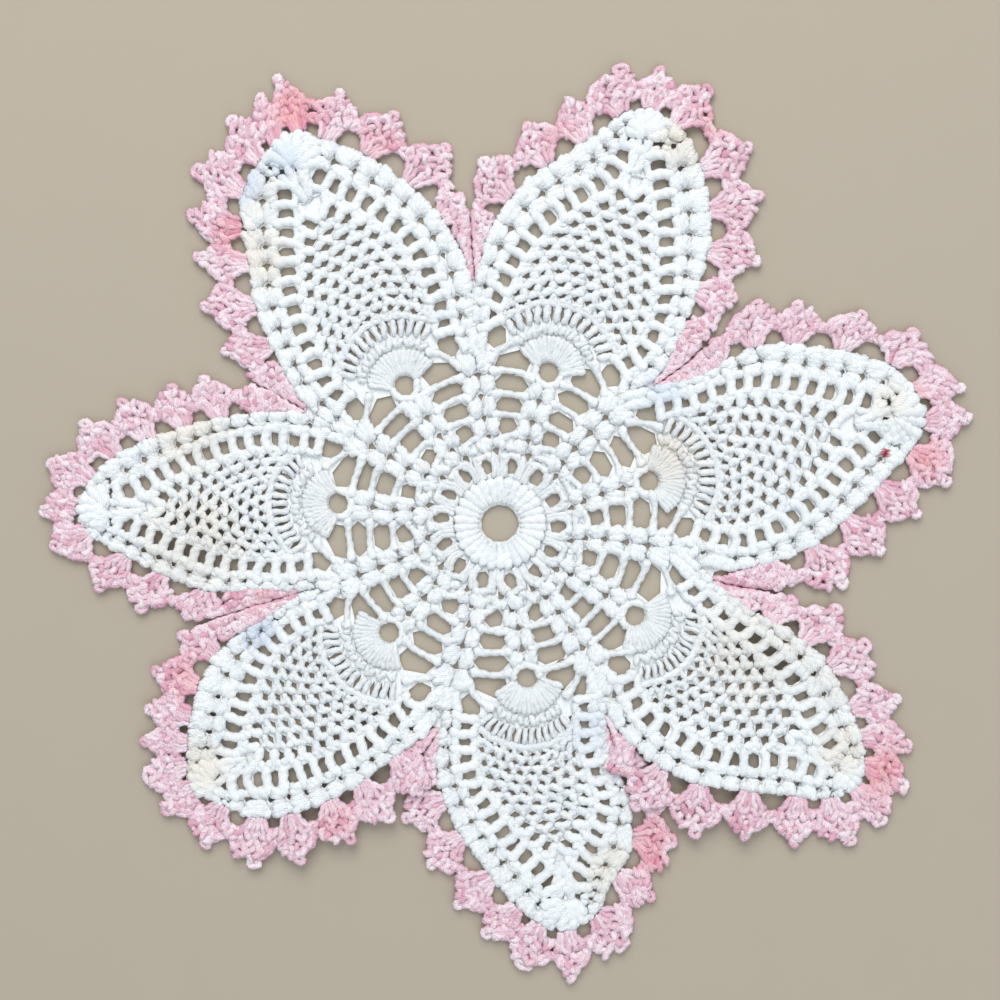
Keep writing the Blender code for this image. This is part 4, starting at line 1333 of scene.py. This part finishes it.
def cotton(name, dyes, spread, yarn):
    """Mercerised crochet cotton: matt, with a faint sheen from its smooth fibres.  Fine
    plies run nearly along each strand, about a millimetre apart, and the loops of the
    chain make a V every few millimetres, with a soft shadow between them that fluff
    breaks up.  Felt has no plies and shows its fluff."""
    if name in bpy.data.materials:
        return bpy.data.materials[name]
    plain, warm, light, groove, fleck = [(*dye, 1.0) for dye in dyes]
    material, tree = blank_material(name)
    tone = add_node(tree, "ShaderNodeVertexColor", {"layer_name": "Tone"})
    aged, shade, pale = add_node(tree, "ShaderNodeSeparateColor", None,
                                 {0: tone.outputs["Color"]}).outputs
    # slow drift of the dye and of how tightly the yarn is spun, over a few centimetres
    drift = texture(tree, "ShaderNodeTexNoise", Scale=70.0, Detail=2.0, Roughness=0.6)
    # loose fibres, well under a millimetre
    fluff = texture(tree, "ShaderNodeTexNoise", Scale=1300.0, Detail=3.0, Roughness=0.7)
    if yarn:
        ply = ply_pattern(tree, yarn, maths(tree, "MULTIPLY", drift, 9.0))
    else:
        # in felt, threads that cross and wander, a millimetre apart
        ply = texture(tree, "ShaderNodeTexWave", Scale=260.0, Distortion=9.0, Detail=2.0,
                      Detail_Scale=1.6)
    # aged or warmer dye in patches, uneven at their edges
    uneven = maths(tree, "ADD", drift, 0.35, clamp=True)
    colour = mixed(tree, maths(tree, "MULTIPLY", aged, uneven, clamp=True), plain, warm)
    # painted cool light on the white cotton, painted highlight on the pink picots
    colour = mixed(tree, pale, colour, light)
    # soft shadow between plies, broken by the fluff
    valley = add_node(tree, "ShaderNodeMapRange", {"interpolation_type": "SMOOTHSTEP"},
                      {"Value": ply, "From Min": 0.5, "From Max": 0.0,
                       "To Min": 0.0, "To Max": 0.62}).outputs[0]
    colour = mixed(tree, maths(tree, "MULTIPLY", valley, fluff, clamp=True), colour, groove)
    # each strand is a little lighter or darker than the next, with painted shade down its flanks
    strand = add_node(tree, "ShaderNodeMapRange", None,
                      {"Value": shade, "From Min": 0.6, "From Max": 0.1,
                       "To Min": 0.0, "To Max": spread}).outputs[0]
    colour = mixed(tree, strand, colour, groove)
    colour = mixed(tree, tone.outputs["Alpha"], colour, fleck)
    relief = maths(tree, "MULTIPLY_ADD", fluff, 0.5, ply)
    bump = add_node(tree, "ShaderNodeBump", None,
                    {"Height": relief, "Strength": 0.5, "Distance": 0.0003})
    coat(tree, {"Base Color": colour, "Normal": bump.outputs[0], "Roughness": 0.82,
                "IOR": 1.47, "Specular IOR Level": 0.25, "Sheen Weight": 0.1,
                "Sheen Roughness": 0.5})
    return material


def white_cotton(settings, strands=True):
    """Bleached white crochet cotton, cream where it has aged, with painted cool light where it is
    faintly blue."""
    dyes = settings.doily_dyes
    return cotton("white_crochet_cotton" if strands else "white_cotton_felt",
                  (dyes.white, dyes.cream, dyes.cool, dyes.white_groove_shade, dyes.crimson),
                  WHITE_SPREAD, settings.doily_yarn if strands else None)


def pink_cotton(settings, strands=True):
    """Variegated pink crochet cotton, running to salmon, with a pale orchid painted highlight on
    the picots.
    """
    dyes = settings.doily_dyes
    return cotton("pink_crochet_cotton" if strands else "pink_cotton_felt",
                  (dyes.pink, dyes.salmon, dyes.orchid, dyes.pink_groove_shade, dyes.pink),
                  PINK_SPREAD, settings.doily_yarn if strands else None)


def painted_board(tint):
    """Matt painted board, pale greige, with the faintest mottling from the roller."""
    material, tree = blank_material("matt_painted_board")
    mottle = texture(tree, "ShaderNodeTexNoise", Scale=60.0, Detail=3.0)
    darker = [0.8 * part for part in tint]
    base = mixed(tree, maths(tree, "MULTIPLY", mottle, 0.12), (*tint, 1.0), (*darker, 1.0))
    coat(tree, {"Base Color": base, "Roughness": 0.75})
    return material


def finish_piece(piece, material):
    piece.data.materials.append(material)
    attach(piece, "root")


# ---- settings --------------------------------------------------------------------------
def length(name, description, default, **limits):
    return bpy.props.FloatProperty(name=name, description=description, default=default,
                                   unit="LENGTH", subtype="DISTANCE", **limits)


def dye(name, description, code):
    return bpy.props.FloatVectorProperty(
        name=name, description=description, default=linear_colour(code), min=0.0, max=1.0,
        subtype="COLOR")


class DoilyYarn(bpy.types.PropertyGroup):
    segment: length("Step along a strand", "Length of one facet along a strand", 0.0009,
                    min=0.0003)
    wrap: length("Wrap length", "Length in which a strand's two lobes change sides", 0.0034,
                 min=0.001)
    plies: bpy.props.IntProperty(
        name="Plies", description="Fine plies round one strand", default=9, min=2)
    lay: length("Lay length", "Length in which a ply winds on by its own width", 0.0032,
                min=0.0005)
    wander: length("Hand tension", "How far stitches wander from the chart", 0.00028,
                   min=0.0)


class DoilyDyes(bpy.types.PropertyGroup):
    white: dye("White", "Fresh white cotton", "#FBFCFC")
    cream: dye("Cream", "White cotton where it has aged", "#F5EADB")
    # painted cool light: the bluish white laid in the cool patches
    cool: dye("Cool white", "White cotton where it is bluest", "#DCE4F2")
    # painted shade: the blue-grey laid between the plies and down the strands' flanks; darker
    # strands lean towards it too
    white_groove_shade: dye("White groove", "Between the plies of the white cotton", "#C1CADA")
    pink: dye("Pink", "Most of the edging", "#FFF2F9")
    salmon: dye("Salmon", "Where the pink dye runs warm", "#FBC2C5")
    # painted highlight: near-white pink laid on the picots
    orchid: dye("Pale orchid", "The picots, where the dye is palest", "#FFF7FC")
    # painted shade: the deep pink laid between the plies and down the strands' flanks; darker
    # strands lean towards it too
    pink_groove_shade: dye("Pink groove", "Between the plies of the pink cotton", "#D0608C")
    crimson: dye("Crimson", "The stray speck of thread", "#B0183A")


class DoilyStage(bpy.types.PropertyGroup):
    floor: dye("Floor", "Colour of the plain floor", "#B3A797")
    camera_height: length("Camera height", "Height of the camera over the floor", 0.5)
    aim: bpy.props.FloatVectorProperty(
        name="Camera aim", description="Point on the floor in the middle of the picture",
        default=(-0.002, 0.009), size=2, unit="LENGTH", subtype="TRANSLATION")


# ---- operators -------------------------------------------------------------------------
class DOILY_OT_centre(bpy.types.Operator):
    """Works the ring, the fourteen spokes of shells and the chain bars between them"""
    bl_idname = "doily.centre"
    bl_label = "Centre"

    def execute(self, context):
        skein = Skein(11, context.scene.doily_yarn, WHITE_PINCH, body_height)
        centre_ring(skein)
        for chart in CHART:
            rows, edges = spoke_rows(chart)
            spoke_shells(skein, chart.spoke, rows, edges)
            spoke_shells(skein, chart.valleys[1], SPOKE_ROWS, SPOKE_EDGES)
            for side in chart.sides.values():
                ladder_bars(skein, side)
        piece = sweep(skein, "centre_stitches", CREAM_PATCHES, COOL_LIGHT_PATCHES)
        finish_piece(piece, white_cotton(context.scene))
        return {"FINISHED"}


class DOILY_OT_petals(bpy.types.Operator):
    """Works the fan, the loops and the two columns of shells of each white petal"""
    bl_idname = "doily.petals"
    bl_label = "Petals"

    def execute(self, context):
        for number, chart in enumerate(CHART):
            skein = Skein(100 + number, context.scene.doily_yarn, WHITE_PINCH, chart.height)
            columns = {turn: Column(chart, side) for turn, side in chart.sides.items()}
            petal_fan(skein, chart)
            petal_loops(skein, chart)
            side_chains(skein, chart)
            for column in columns.values():
                column_shells(skein, column)
            tip_puff(skein, chart, columns)
            name = chart.petal.name + "_petal_stitches"
            piece = sweep(skein, name, CREAM_PATCHES, COOL_LIGHT_PATCHES)
            finish_piece(piece, white_cotton(context.scene))
        return {"FINISHED"}


class DOILY_OT_edgings(bpy.types.Operator):
    """Works the pink edging of small fans with picots round each petal"""
    bl_idname = "doily.edgings"
    bl_label = "Edgings"

    def execute(self, context):
        for number, chart in enumerate(CHART):
            skein = Skein(200 + number, context.scene.doily_yarn, PINK_PINCH)
            edge = Edge(number)
            # each picot gets a patch of painted highlight
            picots = []
            for middle, low, high, deep, lean in edge.fans():
                edging_fan(skein, edge, middle, low, high, deep, lean)
                (x, y), _ = edge.spot(middle, deep - 2.5, lean)
                picots.append(Patch(x, y, 4.6, 0.9))
            edging_bridges(skein, edge)
            name = chart.petal.name + "_edging_stitches"
            piece = sweep(skein, name, WARM_PATCHES, picots)
            finish_piece(piece, pink_cotton(context.scene))
        return {"FINISHED"}


class DOILY_OT_felts(bpy.types.Operator):
    """Lays the thin felts that lie under and inside the close stitches of both cottons"""
    bl_idname = "doily.felts"
    bl_label = "Felts"

    def execute(self, context):
        settings = context.scene
        flat, faces = cut_sheet(body_border(), felt_holes())
        white = closed_sheet("white_felt", flat, body_height(flat), faces,
                             FELT_RISE, FELT_THICK)
        lay_felt(white, flat, faces, CREAM_PATCHES,
                 COOL_LIGHT_PATCHES, white_cotton(settings, False), "white_cotton")
        points, heights, faces = pink_felt([Edge(number) for number in range(len(CHART))])
        pink = closed_sheet("pink_felt", points, heights, faces, PINK_RISE, PINK_THICK)
        side = (flat_area(points, faces) / FELT_SHARE) ** 0.5
        lay_felt(pink, points, faces, WARM_PATCHES, (),
                 pink_cotton(settings, False), "pink_cotton")
        return {"FINISHED"}


def lay_felt(piece, points, faces, patches, pale, material, slot):
    white = slot == "white_cotton"
    corners = np.array([vert.co[:] for vert in piece.data.vertices]) / MM
    paint_tones(piece.data, corners, np.zeros(len(corners)), patches, pale)
    finish_piece(piece, material)
    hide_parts("crocheted_body" if white else "crocheted_edging")
    kinds = ("centre_stitches", "_petal_stitches") if white else ("_edging_stitches",)
    flat_area(points, faces)
    [item for item in bpy.data.objects if item.name.endswith(kinds)]


# Lamps: name, place and size in metres, watts, tint.
LAMPS = (("window", (-0.15, 1.1, 1.15), 1.1, 17.5, "#FFFEF9"),
         ("fill", (0.5, -0.9, 1.2), 1.6, 7.2, "#F2FAFF"))
SKY_TINT, SKY_STRENGTH = "#F0F8FC", 0.575
FLOOR_SIZE, FLOOR_GAP = 6.0, 0.0002     # metres; the gap keeps the floor clear of the cotton


class DOILY_OT_stage(bpy.types.Operator):
    """Sets the plain floor, the soft lights and the camera straight above"""
    bl_idname = "doily.stage"
    bl_label = "Stage"

    def execute(self, context):
        stage = context.scene.doily_stage
        bpy.ops.object.select_all(action="DESELECT")
        bpy.ops.mesh.primitive_plane_add(size=FLOOR_SIZE,
                                         location=(0.0, 0.0, -FLOOR_GAP))
        floor = context.object
        floor.name = "floor"
        bpy.ops.object.transform_apply(location=True, rotation=True, scale=True)
        floor.data.materials.append(painted_board(tuple(stage.floor)))
        for name, place, size, power, tint in LAMPS:
            light = bpy.data.lights.new(name, "AREA")
            light.size, light.energy = size, power
            light.color = linear_colour(tint)
            lamp = placed(name, light)
            lamp.location = place
            lamp.rotation_euler = (-Vector(place)).to_track_quat("-Z", "Y").to_euler()
        world = bpy.data.worlds.new("soft_room")
        world.use_nodes = True
        sky = world.node_tree.nodes["Background"]
        sky.inputs["Color"].default_value = (*linear_colour(SKY_TINT), 1.0)
        sky.inputs["Strength"].default_value = SKY_STRENGTH
        context.scene.world = world
        context.scene.view_settings.view_transform = "Standard"
        lens = bpy.data.cameras.new("camera")
        lens.lens, lens.sensor_width = 50.0, 36.0
        lens.clip_start, lens.clip_end = 0.01, 20.0
        camera = placed("camera", lens)
        camera.location = (stage.aim[0], stage.aim[1], stage.camera_height)
        context.scene.camera = camera
        return {"FINISHED"}


class DOILY_PT_panel(bpy.types.Panel):
    bl_idname = "DOILY_PT_panel"
    bl_label = "Crocheted doily"
    bl_space_type = "VIEW_3D"
    bl_region_type = "UI"
    bl_category = "Doily"

    def draw(self, context):
        scene = context.scene
        for settings in (scene.doily_yarn, scene.doily_dyes, scene.doily_stage):
            for key in settings.__annotations__:
                self.layout.prop(settings, key)
        for operator in OPERATORS:
            self.layout.operator(operator.bl_idname)


OPERATORS = (DOILY_OT_centre, DOILY_OT_petals, DOILY_OT_edgings, DOILY_OT_felts,
             DOILY_OT_stage)
CLASSES = (DoilyYarn, DoilyDyes, DoilyStage, *OPERATORS, DOILY_PT_panel)


def register():
    for item in CLASSES:
        bpy.utils.register_class(item)
    bpy.types.Scene.doily_yarn = bpy.props.PointerProperty(type=DoilyYarn)
    bpy.types.Scene.doily_dyes = bpy.props.PointerProperty(type=DoilyDyes)
    bpy.types.Scene.doily_stage = bpy.props.PointerProperty(type=DoilyStage)


def unregister():
    del bpy.types.Scene.doily_yarn
    del bpy.types.Scene.doily_dyes
    del bpy.types.Scene.doily_stage
    for item in reversed(CLASSES):
        bpy.utils.unregister_class(item)


def main():
    register()
    bpy.ops.doily.centre()
    bpy.ops.doily.petals()
    bpy.ops.doily.edgings()
    bpy.ops.doily.felts()
    bpy.ops.doily.stage()


if __name__ == "__main__":
    main()
